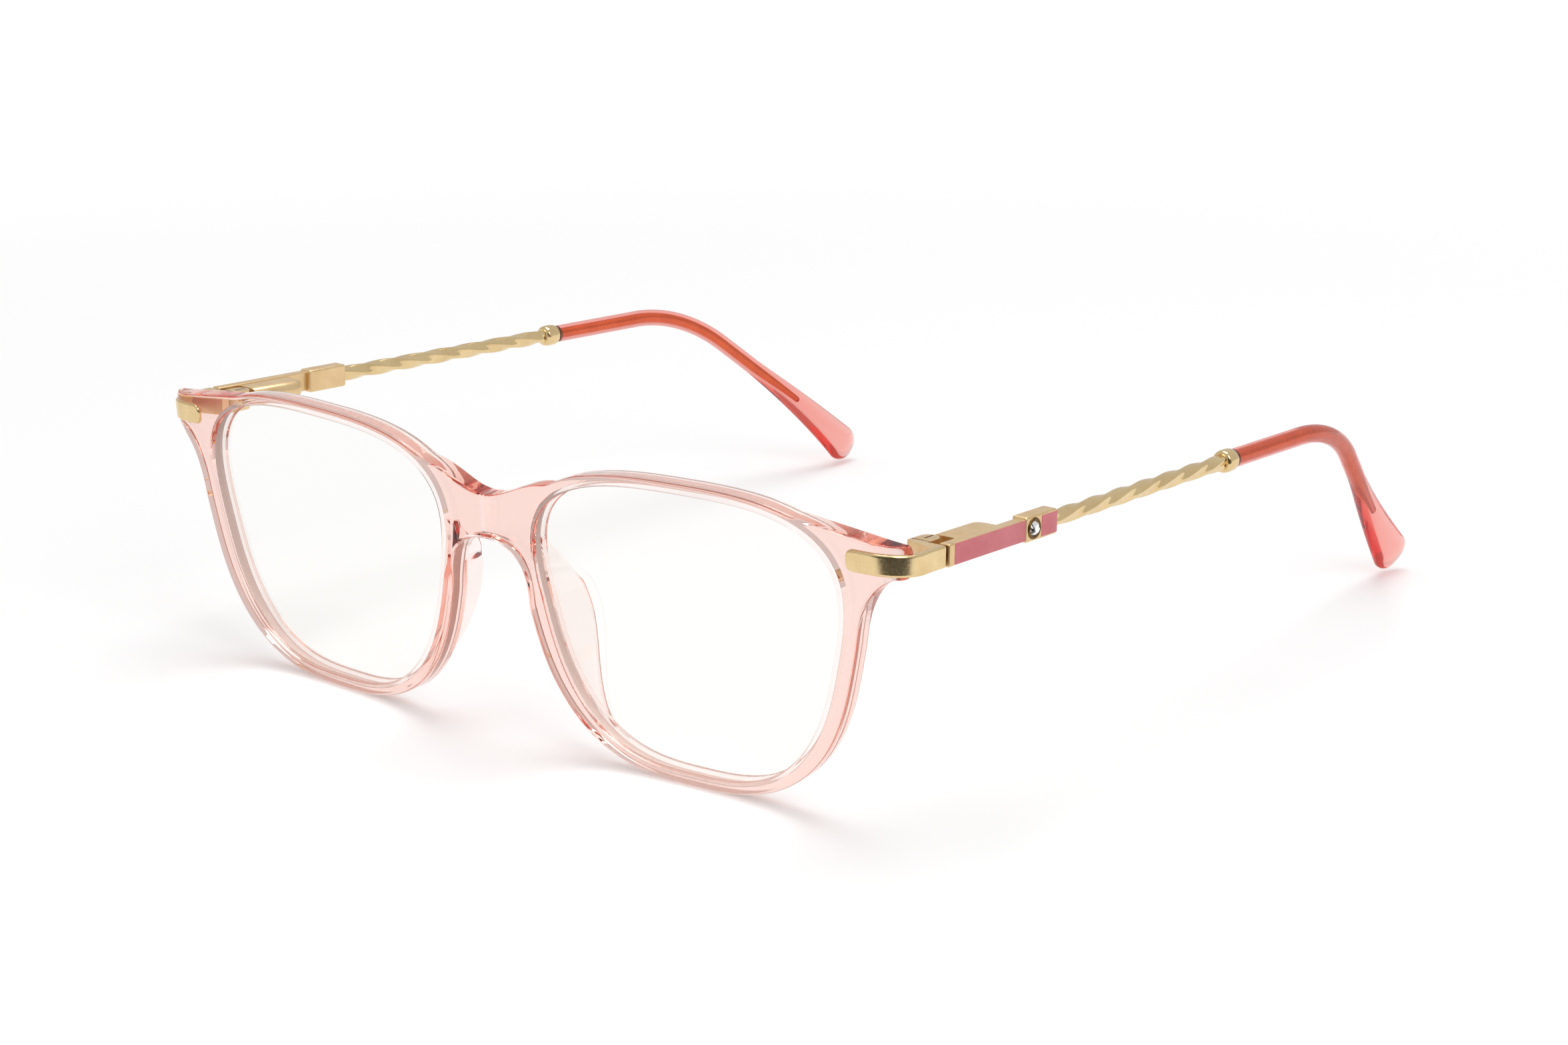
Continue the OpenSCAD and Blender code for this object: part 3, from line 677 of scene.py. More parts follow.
def front_contour():
    """Outer contour from the arch at the middle, round the rim and the lug, to the saddle.
    Gives its points and, for each, the angle of the lens outline that it faces."""
    foot = rim_curve(FOOT_T)
    top = rim_curve(BRIDGE_T)
    q = np.linspace(0, math.pi / 2, 40)
    across = np.sin(q) ** (2 / ARCH_SQUARE)
    rise = np.cos(q) ** (2 / ARCH_SQUARE)
    arch = np.stack([foot[0] * across, foot[1] + (ARCH_Z - foot[1]) * rise], -1)
    share = np.linspace(1, 0, 40)
    fall = (1 - np.cos(math.pi * share)) / 2
    saddle = np.stack([top[0] * share, SADDLE_Z + (top[1] - SADDLE_Z) * fall], -1)
    lug = lug_run()
    under = np.linspace(FOOT_T, LUG_FOOT_T, 900)
    over = np.linspace(LUG_TOP_T, BRIDGE_T, 500)
    runs = [
        (arch, np.linspace(ARCH_T, FOOT_T, len(arch))),
        (rim_curve(under), under),
        (lug, LUG_FOOT_T + (LUG_TOP_T - LUG_FOOT_T) * along(lug) / along(lug)[-1]),
        (rim_curve(over), over),
        (saddle, np.linspace(BRIDGE_T, SADDLE_T, len(saddle))),
    ]
    line = np.concatenate([np.column_stack(run) for run in runs])
    fine = CONTOUR_STEP / 4
    length = along(line[:, :2])
    line = at_lengths(line, length, np.linspace(0, length[-1], int(length[-1] / fine)))
    reach = int(4 * SOFTENING / fine)
    weight = np.exp(-0.5 * (np.arange(-reach, reach + 1) * fine / SOFTENING) ** 2)
    soft = softened(line, weight, np.array([-1, 1, -1]))
    soft[[0, -1], 0] = 0
    return soft[np.linspace(0, len(soft) - 1, int(length[-1] / CONTOUR_STEP)).astype(int)]


contour = front_contour()
print("outer contour:", len(contour), "points,", round(along(contour[:, :2])[-1], 1), "mm")

# %% [markdown]
# ## Section of the front
# The front is one moulding. Its cross-section is a closed loop: front face, rounded outer edge, rear
# face with the fin of the nose pad, and the wall of the opening with its groove for the lens. We work
# that loop out at every point of the contour. The nose pad is the same loop with the fin pulled back
# behind the nasal side of the rim, so there is no seam at its root.

# %% Section of the front
OUTER_EDGE = 0.5
INNER_EDGE = 0.3
PAD_EDGE_T = 0.55
PAD_FOOT_T = math.radians(210)
FIN_NEAREST = 0.12
FIN_FURTHEST = 0.5
FIN_SHARE = 0.6
WALL_STEPS = (0.33, 0.67)
FACE_STEPS = 20
REAR_STEPS = 16
FIN_STEPS = 7
MIDDLE_ROWS = 14


def pad_height(points):
    """How far the fin stands back behind each point: a skewed half sine along the pad's length, which
    tilts as the nasal side of the rim does."""
    foot = rim_curve(FOOT_T)
    lower = rim_curve(PAD_FOOT_T)
    tilt = math.atan2(lower[0] - foot[0], foot[1] - lower[1])
    length = PAD_L * math.cos(tilt)
    top = (foot[1] + lower[1]) / 2 + PAD_RISE + length / 2
    down = np.clip((top - points[:, 1]) / length, 0, 1)
    nasal = points[:, 0] < lens_x - LENS_W / 4
    return np.maximum(np.where(nasal, PAD_REACH * np.sin(math.pi * down**PAD_SKEW), 0), 0)


def front_rows():
    """The section loop at every point of the contour and down the middle of the bridge, as flat u and v
    with a depth d."""
    first, last = contour[0], contour[-1]
    middle_v = np.linspace(last[1] - OUTER_EDGE, first[1] + OUTER_EDGE, MIDDLE_ROWS)
    middle_t = np.linspace(last[2], first[2] + 2 * math.pi, MIDDLE_ROWS)
    angle = np.concatenate([contour[:, 2], middle_t])
    outer = np.concatenate([contour[:, :2], np.stack([0 * middle_v, middle_v], -1)])
    outward = outward_of(np.gradient(contour[:, :2], axis=0))
    outward[0] = [0, -1]
    outward[-1] = [0, 1]
    outward = np.concatenate([outward, np.zeros((MIDDLE_ROWS, 2))])
    away = lens_normal(angle)
    inner = lens_curve(angle) - GROOVE * away
    face_in = inner + INNER_EDGE * away
    face_out = outer - OUTER_EDGE * outward
    width = np.linalg.norm(face_out - face_in, axis=1)
    across = (face_out - face_in) / width[:, None]
    flat, depth = [], []

    def put(points, deep):
        flat.append(points)
        depth.append(np.broadcast_to(deep, len(angle)))

    def rounding(edge, inwards, radius, turns, face):
        for q in turns:
            put(edge + radius * (1 - math.cos(q)) * inwards, abs(face - radius * (1 - math.sin(q))))

    def fin(height, aside):
        shift = middle * width + aside - math.sin(PAD_SPLAY) * height
        put(face_in + shift[:, None] * across, RIM_D + math.cos(PAD_SPLAY) * height)

    quarter = np.linspace(0, math.pi / 2, 5)
    rounding(inner, away, INNER_EDGE, quarter, 0)
    for q in np.arange(1, FACE_STEPS) / FACE_STEPS:
        put(face_in + q * (face_out - face_in), 0)
    rounding(outer, -outward, OUTER_EDGE, quarter[::-1], 0)
    for q in WALL_STEPS:
        put(outer, OUTER_EDGE + q * (RIM_D - 2 * OUTER_EDGE))
    rounding(outer, -outward, OUTER_EDGE, quarter, RIM_D)
    middle = np.clip((RIM_SIDE / 2 - INNER_EDGE) / width, FIN_NEAREST, FIN_FURTHEST)
    half = np.minimum(PAD_T / 2 / width, FIN_SHARE * middle)
    for q in np.linspace(1, 0, REAR_STEPS)[1:]:
        share = middle + half + q * (1 - middle - half)
        put(face_in + (share * width)[:, None] * across, RIM_D)
    reach = pad_height(face_in)
    edge = np.minimum(PAD_EDGE_T, reach / 2)
    core = reach - edge
    root = half * width
    lip = np.where(reach > 0, PAD_EDGE_T, root)
    climb = np.arange(1, FIN_STEPS) / FIN_STEPS
    for q in climb:
        fin(core * q, lip + (root - lip) * (1 - q) ** 2)
    for q in np.linspace(math.pi / 2, -math.pi / 2, 9):
        fin(core + edge * math.cos(q), lip * math.sin(q))
    for q in climb[::-1]:
        fin(core * q, -lip - (root - lip) * (1 - q) ** 2)
    for q in np.linspace(1, 0, 4):
        put(face_in + (q * (middle - half) * width)[:, None] * across, RIM_D)
    rounding(inner, away, INNER_EDGE, quarter[::-1], RIM_D)
    groove = inner + (GROOVE + 2 * SEAT) * away
    rear = lens_front + LENS_T + 2 * SEAT
    fore = lens_front - 2 * SEAT
    for points, deep in ((inner, rear), (groove, rear), (groove, fore), (inner, fore)):
        put(points, deep)
    return np.stack(flat, 1), np.stack(depth, 1)


flat_rows, depth_rows = front_rows()
print("section loops:", depth_rows.shape)

# %% [markdown]
# ## The front frame
# The loops are still flat. Rolling them round the corner and leaning them gives half the front, and its
# mirror image gives the other half. A Mirror modifier would do the same, but here both halves go into
# one mesh at once. They meet at the middle of the bridge, where the faces between them are left out, so
# that the plastic is one closed body and light finds no wall inside it.

# %% The front frame itself
half_front = lug_place(flat_rows[..., 0], depth_rows, flat_rows[..., 1])
halves = [(mirrored(half_front, side), 0, True) for side in SIDES]
piece(
    "clear_front", halves, [front_plastic], "front", ["front_frame"],
    crisp=50, drop_seam=True,
)

# %% [markdown]
# ## The lenses
# A plain lens is a thin plate that bulges forward a little. It is drawn as rings that shrink from the
# lens outline to the middle, first over the front and then over the back. The band between them is the
# ground edge, a grid of its own with its own finish. The outline is sampled at even lengths, because
# equal steps of the angle would leave long gaps over the brow.

# %% Lenses
LENS_BULGE = 0.45
LENS_POINTS = 220
LENS_RINGS = 14


def lens_rows():
    """Front rings from the middle out and rear rings back in: depth is a parabola of the ring's share."""
    fine = np.linspace(0, 2 * math.pi, 4001)
    length = along(lens_curve(fine))
    angle = np.interp(np.linspace(0, length[-1], LENS_POINTS + 1)[:-1], length, fine)
    edge = lens_curve(angle) - SEAT * lens_normal(angle)
    middle = np.array([lens_x, 0])
    share = np.concatenate([np.linspace(0, 1, LENS_RINGS), np.linspace(1, 0, LENS_RINGS)])
    behind = np.repeat([0, LENS_T], LENS_RINGS)
    rings = middle + share[:, None, None] * (edge - middle)
    deep = lens_front + behind - LENS_BULGE * (1 - share**2)
    return front_place(rings[..., 0], deep[:, None], rings[..., 1])


lens = lens_rows()
faces = [(lens[:LENS_RINGS], 0, False), (lens[LENS_RINGS:], 0, False)]
band = (lens[LENS_RINGS - 1 : LENS_RINGS + 1], 1, False)
pair("clear_lens", [*faces, band], [coated_lens, ground_edge], "lens", on_front=True)

# %% [markdown]
# ## Rounded bars
# The metal pieces are stampings with small radii on every edge. One section serves them all: a rounded
# rectangle, given by its half sizes and its corner radius. A bar is that section carried along a line,
# and its ends are rounded by letting the section shrink over the last tenths of a millimetre.

# %% Section helpers
FLAT_MARGIN = 0.94
ROUNDEST = 0.98
CORNER_STEPS = 6


def rounded_section(half_l, half_w, radius):
    """Rounded rectangles, one row for each half size: four quarter circles about inset corners.
    Each corner also has a point just past its two ends, on the flats. It keeps the smooth shading of
    the rounding out of the flat sides, which would otherwise mirror like cushions."""
    half_l, half_w, radius = np.broadcast_arrays(np.atleast_1d(half_l), half_w, radius)
    radius = np.minimum(radius, ROUNDEST * np.minimum(half_l, half_w))
    angle = np.concatenate([[0], np.linspace(0, math.pi / 2, CORNER_STEPS), [math.pi / 2]])
    angle = (np.arange(4)[:, None] * math.pi / 2 + angle).ravel()
    points = CORNER_STEPS + 2
    inset = np.tile(np.r_[FLAT_MARGIN, np.ones(points - 2), FLAT_MARGIN], 4)
    upright = np.abs(np.cos(angle)) < 0.5
    sign_l = np.repeat([1, -1, -1, 1], points) * np.where(upright, inset, 1)
    sign_w = np.repeat([1, 1, -1, -1], points) * np.where(upright, 1, inset)
    l = sign_l * (half_l - radius)[:, None] + radius[:, None] * np.cos(angle)
    w = sign_w * (half_w - radius)[:, None] + radius[:, None] * np.sin(angle)
    return l, w


def end_rounding(first, last, edge):
    """Stations from first to last and how far the section is drawn in at each, as a quarter circle."""
    q = np.linspace(0, math.pi / 2, 5)
    stations = np.concatenate([first + edge * (1 - np.cos(q)), last - edge * (1 - np.cos(q[::-1]))])
    return stations, edge * (1 - np.sin(np.concatenate([q, q[::-1]])))


def bar_rows(l, a, w, edge, radius):
    """A box between two values of l, a and w in the temple's frame, with rounded edges."""
    stations, inset = end_rounding(*a, edge)
    across, upward = rounded_section((l[1] - l[0]) / 2 - inset, (w[1] - w[0]) / 2 - inset, radius)
    return capped(temple_place(sum(l) / 2 + across, stations[:, None], sum(w) / 2 + upward))


def prism_rows(outline, low, high, edge, hole=0):
    """An outline in l and a, drawn up from low to high with a rounded edge all round. With a hole about
    the hinge axis it is one closed loop, from the rim to the hole and back."""
    outward = outward_of(np.roll(outline, -1, 0) - np.roll(outline, 1, 0))
    heights, inset = end_rounding(low, high, edge)
    rings = outline - inset[:, None, None] * outward
    if not hole:
        return capped(temple_place(rings[..., 0], rings[..., 1], heights[:, None]))
    rings = np.concatenate([rings, np.stack(2 * [hole * unit(outline)])])
    heights = np.concatenate([heights, [high, low]])
    return temple_place(rings[..., 0], rings[..., 1], heights[:, None])


def even_loop(corners, count):
    """Points at equal lengths round a closed line of corners."""
    closed = np.concatenate([corners, corners[:1]])
    length = along(closed)
    return at_lengths(closed, length, np.linspace(0, length[-1], count + 1)[:-1])


print("section helpers ready")

# %% [markdown]
# ## The endpieces
# An endpiece is a gold strip that lies in the lug's front face, turns the corner and runs back to the
# hinge. Its centre line follows the lug first and then the temple, and drifts from one to the other
# round the corner. The front end is a rounded rectangle. Behind it, a web and two leaves carry the
# hinge screw, with a slot between the leaves for the middle knuckle. A pale film is a thin plate on the
# strip's inner face, and its colour is painted glow of lit plastic.

# %% Endpieces
KNUCKLE_R = 1.35
KNUCKLE_EDGE = 0.1
KNUCKLE_POINTS = 72
EYE_H = 1.1
PLAY = 0.05
EYE_ROOM = 1.6
LEAF_ROOT = 0.7
WEB_AT = 1
HEAD_D = 1.9
SCREW_D = 1.2
STRIP_ROUND = 0.32
STRIP_CROWN = 1.25
STRIP_NOSE = 0.4
STRIP_SQUARE = 2.6
STRIP_EDGE = 0.15
STRIP_REACH = 20
TURN_UP_FROM = 6
TURN_UP_L = 4
THINNEST = 0.02
GLOW_FILM_T = 0.06
endpiece_end = -BUTT_AHEAD - BUTT_GAP / 2


def strip_line():
    """Stations on the strip, its middle there, and the directions out of its face and up its height.
    The line turns the corner, and on the way it drifts in and down to the line of the temple."""
    quarter = CORNER_R * math.pi / 2
    u = np.linspace(corner_x - STRIP_FRONT - BAR_H / 2, corner_x + quarter, 200)
    in_lug = bent_place(u, STRIP_T / 2 - STRIP_OUT, LUG_Z)
    past = in_lug[-1] - hinge
    drift = (past @ up) * up + (past @ out - HINGE_IN + STRIP_T / 2) * out
    in_lug = in_lug - eased((u - corner_x) / quarter)[:, None] * drift
    on_side = temple_place(HINGE_IN - STRIP_T / 2, np.linspace(past @ back, endpiece_end, 60)[1:], 0)
    line = np.concatenate([in_lug, on_side])
    line = at_lengths(line, along(line), np.linspace(0, along(line)[-1], 401))
    line = softened(line, np.hanning(2 * STRIP_REACH + 1), -1)
    last = along(line)[-1] - STRIP_EDGE
    stations = np.concatenate([
        STRIP_CROWN * (1 - np.cos(np.linspace(0, math.pi / 2, 14))),
        np.linspace(STRIP_CROWN, last, 70)[1:-1],
        last + STRIP_EDGE * np.sin(np.linspace(0, math.pi / 2, 5)),
    ])
    at = at_lengths(line, along(line), stations)
    blend = eased((stations - stations[-1] + TURN_UP_FROM) / TURN_UP_L)[:, None]
    tall = (1 - blend) * leaned(0, 0, 1) + blend * up
    return stations, at, unit(np.cross(unit(np.gradient(at, axis=0)), tall)), tall


def swept(at, face, tall, n, h):
    """Sections with n out of the face and h up the height, carried along the strip's line."""
    return capped(at[:, None] + n[..., None] * face[:, None] + h[..., None] * tall[:, None])


def front_fall(stations, length):
    """Share of the full size over the strip's front end, which a superellipse closes."""
    share = np.clip(1 - stations / length, 0, 1)
    return (1 - share**STRIP_SQUARE) ** (1 / STRIP_SQUARE)


def strip_rows():
    """The strip's section along its line: height and thickness close at the front, and the rear end has
    a rounded edge."""
    stations, at, face, tall = strip_line()
    rear = np.clip((stations - stations[-1] + STRIP_EDGE) / STRIP_EDGE, 0, 1)
    inset = STRIP_EDGE * (1 - np.sqrt(1 - rear**2))
    thick = STRIP_T / 2 * front_fall(stations, STRIP_NOSE) - inset
    high = BAR_H / 2 * front_fall(stations, STRIP_CROWN) - inset
    section = rounded_section(np.maximum(thick, THINNEST), np.maximum(high, THINNEST), STRIP_ROUND)
    return swept(at, face, tall, *section)


def glow_film_rows():
    """The pale film behind the strip, painted glow of lit plastic: a thin plate on the strip's inner face,
    as far as the lug goes.
    """
    stations, at, face, tall = strip_line()
    keep = (stations > STRIP_CROWN) & (stations < STRIP_FRONT + BAR_H / 2 + CORNER_R * LUG_TURN)
    middle = at[keep] - (STRIP_T + GLOW_FILM_T) / 2 * face[keep]
    section = rounded_section(GLOW_FILM_T / 2, BAR_H / 2 - STRIP_ROUND, GLOW_FILM_T / 2)
    return swept(middle, face[keep], tall[keep], *section)


def knuckle_grids():
    """The web behind the strip, and the upper and lower leaf round the hinge screw."""
    web = np.array([
        [-KNUCKLE_R, -EYE_ROOM], [-KNUCKLE_R, -HINGE_BACK / 2], [HINGE_IN - STRIP_T, WEB_AT - HINGE_BACK],
        [HINGE_IN - STRIP_T / 2, endpiece_end], [KNUCKLE_R, endpiece_end], [KNUCKLE_R, -EYE_ROOM],
    ])
    angle = np.linspace(0, math.pi, 25)
    barrel = KNUCKLE_R * np.stack([np.cos(angle), np.sin(angle)], -1)
    root = -EYE_ROOM - LEAF_ROOT
    leaf = even_loop(np.concatenate([barrel, [[-KNUCKLE_R, root], [KNUCKLE_R, root]]]), KNUCKLE_POINTS)
    slot = EYE_H / 2 + PLAY
    top = BAR_H / 2
    return [
        (prism_rows(even_loop(web, KNUCKLE_POINTS), -top, top, KNUCKLE_EDGE), 1, False),
        (prism_rows(leaf, slot, top, KNUCKLE_EDGE, HEAD_D / 2 + SEAT), 1, True),
        (prism_rows(leaf, -top, -slot, KNUCKLE_EDGE, SCREW_D / 2 + SEAT), 1, True),
    ]


# The film on the strip paints the glow of lit plastic, where the metal's back would look black.
grids = [(strip_rows(), 0, False), *knuckle_grids(), (glow_film_rows(), 2, False)]
pair("gold_endpiece", grids, [polished_gold, satin_gold, painted_glow_film], "endpiece", on_front=True)

# %% [markdown]
# ## The temple bars
# The bar is a flat stamping with a bare lip at the front. A thicker block at its rear end holds the
# stone, and the spring's housing is soldered on the inner side. The housing has a D section: half round
# towards the head and flat against the bar. It ends in a rounded nose. Its mouth is an open bore, where
# the spring's bush can be seen.

# %% Temple bars and spring housings
BAR_T = 1.5
BAR_L = 22.6
BAR_EDGE = 0.16
BLOCK_H = 3.4
BLOCK_T = 2.3
BLOCK_L = 7.3
BLOCK_OUT = 0.15
BLOCK_EDGE = 0.35
BLOCK_ROUND = 0.3
BLOCK_ROOT = 1
LIP_L = 1.3
LIP_PROUD = 0.06
LIP_RISE = 0.03
LIP_EDGE = 0.2
LIP_ROUND = 0.25
HOUSING_R = 1.35
HOUSING_END = 9.9
HOUSING_TAIL = 2.6
NOSE_KEEP = 0.4
SOLDER = 0.1
CHAMBER_R = 0.86
BORE_L = 3
MOUTH = 2
MOUTH_STEPS = (0, 0.03, 0.1)
MOUTH_SIZES = (0.93, 0.98, 1)
TINY = 1e-6
bar_start = -BUTT_AHEAD + BUTT_GAP / 2
bar_in = HINGE_IN - BAR_T
lip_end = bar_start + LIP_L
block_start = BAR_L - BLOCK_L
block_face = HINGE_IN + BLOCK_OUT


def bar_grids():
    """The plate, its lip and the stone's block, as rounded boxes that run into each other."""
    half = BAR_H / 2
    tall = BLOCK_H / 2
    lip_l = (bar_in, HINGE_IN + LIP_PROUD)
    lip_w = (-half - LIP_PROUD, half + LIP_RISE)
    block_l = (block_face - BLOCK_T, block_face)
    plate_a = (bar_start, block_start + BLOCK_ROOT)
    return [
        (bar_rows((bar_in, HINGE_IN), plate_a, (-half, half), BAR_EDGE, BAR_EDGE), 0, False),
        (bar_rows(lip_l, (bar_start, lip_end), lip_w, LIP_EDGE, LIP_ROUND), 0, False),
        (bar_rows(block_l, (block_start, BAR_L), (-tall, tall), BLOCK_EDGE, BLOCK_ROUND), 0, False),
    ]


def housing_rows():
    """The bore's blind end, its mouth, and the D section along the bar with a rounded nose."""
    q = full_turn(48)
    to_bar = (bar_in + SOLDER) / np.maximum(np.cos(q), TINY)
    to_side = HOUSING_R / np.maximum(np.abs(np.sin(q)), TINY)
    reach = np.where(np.cos(q) > 0, np.minimum(to_bar, to_side), HOUSING_R)
    nose = np.sin(np.linspace(0, math.pi / 2, 10))
    a = np.concatenate([MOUTH + np.array(MOUTH_STEPS), HOUSING_END + HOUSING_TAIL * nose])[:, None]
    size = np.concatenate([MOUTH_SIZES, round_end(nose)])[:, None]
    drawn = bar_in - (bar_in - reach * np.cos(q)) * size
    outside = temple_place(drawn, a, reach * np.sin(q) * (NOSE_KEEP + (1 - NOSE_KEEP) * size))
    bore_a = np.array([[MOUTH + BORE_L], [MOUTH]])
    bore = temple_place(CHAMBER_R * np.cos(q), bore_a, CHAMBER_R * np.sin(q))
    return capped(np.concatenate([bore, outside]))


pair("gold_bar", bar_grids(), [satin_gold], "temple_bar")
pair("gold_housing", [(housing_rows(), 0, False)], [satin_gold], "spring_housing")

# %% [markdown]
# ## Enamel and stone on the bars
# The enamel fields are thin rounded plates that stand a hair proud of the metal. The stone sits in a
# dark ring. It is cut like a small brilliant: a flat table, a band of crown facets and a girdle. Its
# facets stay flat, because smooth shading would turn it into a pebble.

# %% Enamel fields, bezels and stones
INLAY_EDGE = 0.4
ENAMEL_PROUD = 0.05
LONG_DEEP = 0.35
LONG_LAP = 0.1
LONG_W = (-1.4, 1.36)
LONG_ROUND = 0.06
SHORT_DEEP = 0.3
SHORT_LAP = 0.1
SHORT_REST = 0.12
SHORT_W = (-1.5, 1.45)
SHORT_ROUND = 0.3
STONE_D = 2.3
STONE_CROWN = 0.5
STONE_SIDES = 16
STONE_SUNK = 0.3
GIRDLE_IN = 0.1
GIRDLE_H = 0.06
CROWN_R = 0.36
CROWN_H = 0.62
TABLE_R = 0.25
BEZEL_W = 0.3
BEZEL_OUT = 0.22
BEZEL_LAP = 0.08
stone_at = block_start + BEZEL_W + INLAY_EDGE + STONE_D / 2
short_start = stone_at + STONE_D / 2 + BEZEL_W + INLAY_EDGE


def stone_place(radius, angle, height):
    """Point round the stone's axis, at a height over the block's outer face."""
    return temple_place(block_face + height, stone_at + radius * np.cos(angle), radius * np.sin(angle))


def bezel_rows():
    """A ring about the stone: its section is a half round on the block's face."""
    turn = full_turn(64)
    q = np.linspace(0, math.pi, 9)[:, None]
    middle = STONE_D / 2 + BEZEL_W / 2 - BEZEL_LAP
    half = BEZEL_W / 2 + BEZEL_LAP
    arch = stone_place(middle + half * np.cos(q), turn, BEZEL_OUT * np.sin(q))
    foot = stone_place(middle + half * np.array([[-1], [1]]), turn, -STONE_SUNK)
    return np.concatenate([arch, foot])


def stone_rows():
    """Girdle, crown and table as rings of points, of which the crown's is turned by half a step."""
    turn = full_turn(STONE_SIDES)
    girdle = STONE_D / 2 - GIRDLE_IN
    return capped(np.stack([
        stone_place(girdle, turn, -STONE_SUNK),
        stone_place(girdle, turn, GIRDLE_H),
        stone_place(CROWN_R * STONE_D, turn + math.pi / STONE_SIDES, CROWN_H * STONE_CROWN),
        stone_place(TABLE_R * STONE_D, turn, STONE_CROWN),
    ]))


def field(name, face, deep, a, w, radius):
    """A pair of enamel plates that reach that deep under a face."""
    rows = bar_rows((face - deep, face + ENAMEL_PROUD), a, w, ENAMEL_PROUD, radius)
    pair(f"{name}_enamel", [(rows, 0, False)], [pink_enamel], f"{name}_inlay")


field("long", HINGE_IN, LONG_DEEP, (lip_end, block_start + LONG_LAP), LONG_W, LONG_ROUND)
field("short", block_face, SHORT_DEEP, (short_start - SHORT_LAP, BAR_L - SHORT_REST), SHORT_W, SHORT_ROUND)
pair("bezel", [(bezel_rows(), 0, True)], [bronze], "")
pair("crystal", [(stone_rows(), 0, False)], [foiled_crystal], "stone", flat=True)

# %% [markdown]
# ## Twisted shanks and ferrules
# The shank is a square wire that was twisted and drawn smooth: a superellipse with soft corners and
# slightly hollow flats, which turns a quarter of a turn for each lobe. The right one turns the other
# way, as a mirror image. The ferrule is a turned collar that swells from a slim neck, so its shape is a
# radius that depends on the length alone.

# %% Shanks and ferrules
SHANK_L = 43
SHANK_D = 2.3
SHANK_LOBES = 7
SHANK_SQUARE = 3.6
SHANK_HOLLOW = 0.08
SHANK_ROOT = 0.4
SHANK_LAP = 0.2
ROWS_A_LOBE = 26
FERRULE_L = 2.9
FERRULE_D = 3.3
FERRULE_PEAK = 0.56
FERRULE_SQUARE = 3
FERRULE_BORE = 0.5
NECK_T = 0.05
line_l = block_face - BLOCK_T / 2


def round_rows(a, radius, angle):
    """A closed stack of rings about the shank's line."""
    return capped(temple_place(line_l + radius * np.cos(angle), a, radius * np.sin(angle)))


def shank_rows():
    """Superellipse whose corners touch the shank's circle, its flats hollowed by a squared cosine, turned
    along the length."""
    q = full_turn(48)
    shape = (np.abs(np.cos(q)) ** SHANK_SQUARE + np.abs(np.sin(q)) ** SHANK_SQUARE) ** (-1 / SHANK_SQUARE)
    radius = SHANK_D / 2 * shape / shape.max() * (1 - SHANK_HOLLOW * np.cos(2 * q) ** 2)
    share = np.linspace(0, 1, ROWS_A_LOBE * SHANK_LOBES)[:, None]
    a = BAR_L - SHANK_ROOT + (SHANK_ROOT + SHANK_L + SHANK_LAP) * share
    return round_rows(a, radius, q + share * SHANK_LOBES * math.pi / 2)


def ferrule_rows():
    """A collar turned round the shank's line: a superellipse of power 3 over a slim neck."""
    share = np.concatenate([[0], (1 - np.cos(np.linspace(0, math.pi, 40))) / 2, [1]])
    neck = SHANK_D / 2 + NECK_T
    off_peak = np.abs((share - FERRULE_PEAK) / (1 - FERRULE_PEAK)) ** FERRULE_SQUARE
    radius = neck + (FERRULE_D / 2 - neck) * np.maximum(1 - off_peak, 0) ** (1 / FERRULE_SQUARE)
    radius[[0, -1]] = FERRULE_BORE
    return round_rows(BAR_L + SHANK_L + FERRULE_L * share[:, None], radius[:, None], full_turn(48))


pair("gold_twist", [(shank_rows(), 0, False)], [polished_gold], "twisted_shank")
pair("gold_ferrule", [(ferrule_rows(), 0, False)], [polished_gold], "ferrule")

# %% [markdown]
# ## Temple tips and their core wires
# A tip is clear coral plastic round a metal core. Its line runs straight, bends over the ear and ends in
# a flattened paddle. The section is a circle at first. Along the line it flares into a wide superellipse
# that grows squarer, and its end leans. The core is a thin rod on the same line, with a crimped sleeve
# at the start, whose dark brown is partly painted shade of the ferrule's end seen through the plastic.
# The plastic magnifies the core like a lens, so it needs no extra width.

# %% Temple tips and core wires
TEMPLE_L = 145
TIP_D = 2.7
TIP_RUN = 19
EAR_R = 31
EAR_DROP = math.radians(39)
EAR_IN = math.radians(18)
PADDLE_W = 6.8
PADDLE_T = 2.2
PADDLE_LEAD = 0.1
PADDLE_SQUARE = 0.25
PADDLE_LEAN = 1.7
TOE_SHARE = 0.34
TIP_CURL = 1.8
CURL_FROM = 0.35
FLARE_FROM = 0.2
FLARE_POWER = 1.25
CAP_SHARE = 0.45
START_STEPS = (0, 0.03, 0.1, 0.2)
START_SIZES = (0.9, 0.955, 0.99, 1)
START_L = 0.5
CORE_D = 0.9
CORE_PAST = 19.5
CORE_NOSE = 0.6
CORE_REST = 0.2
SLEEVE_D = 1.9
SLEEVE_L = 0.9
SLEEVE_AT = 0.04
SLEEVE_EDGE = 0.1
tip_start = BAR_L + SHANK_L + FERRULE_L
tip_l = TEMPLE_L - tip_start
end_at = TIP_RUN + EAR_R * EAR_DROP
curl_at = end_at + CURL_FROM * (tip_l - end_at)
flare_at = end_at + FLARE_FROM * (tip_l - end_at)
cap_l = CAP_SHARE * PADDLE_W


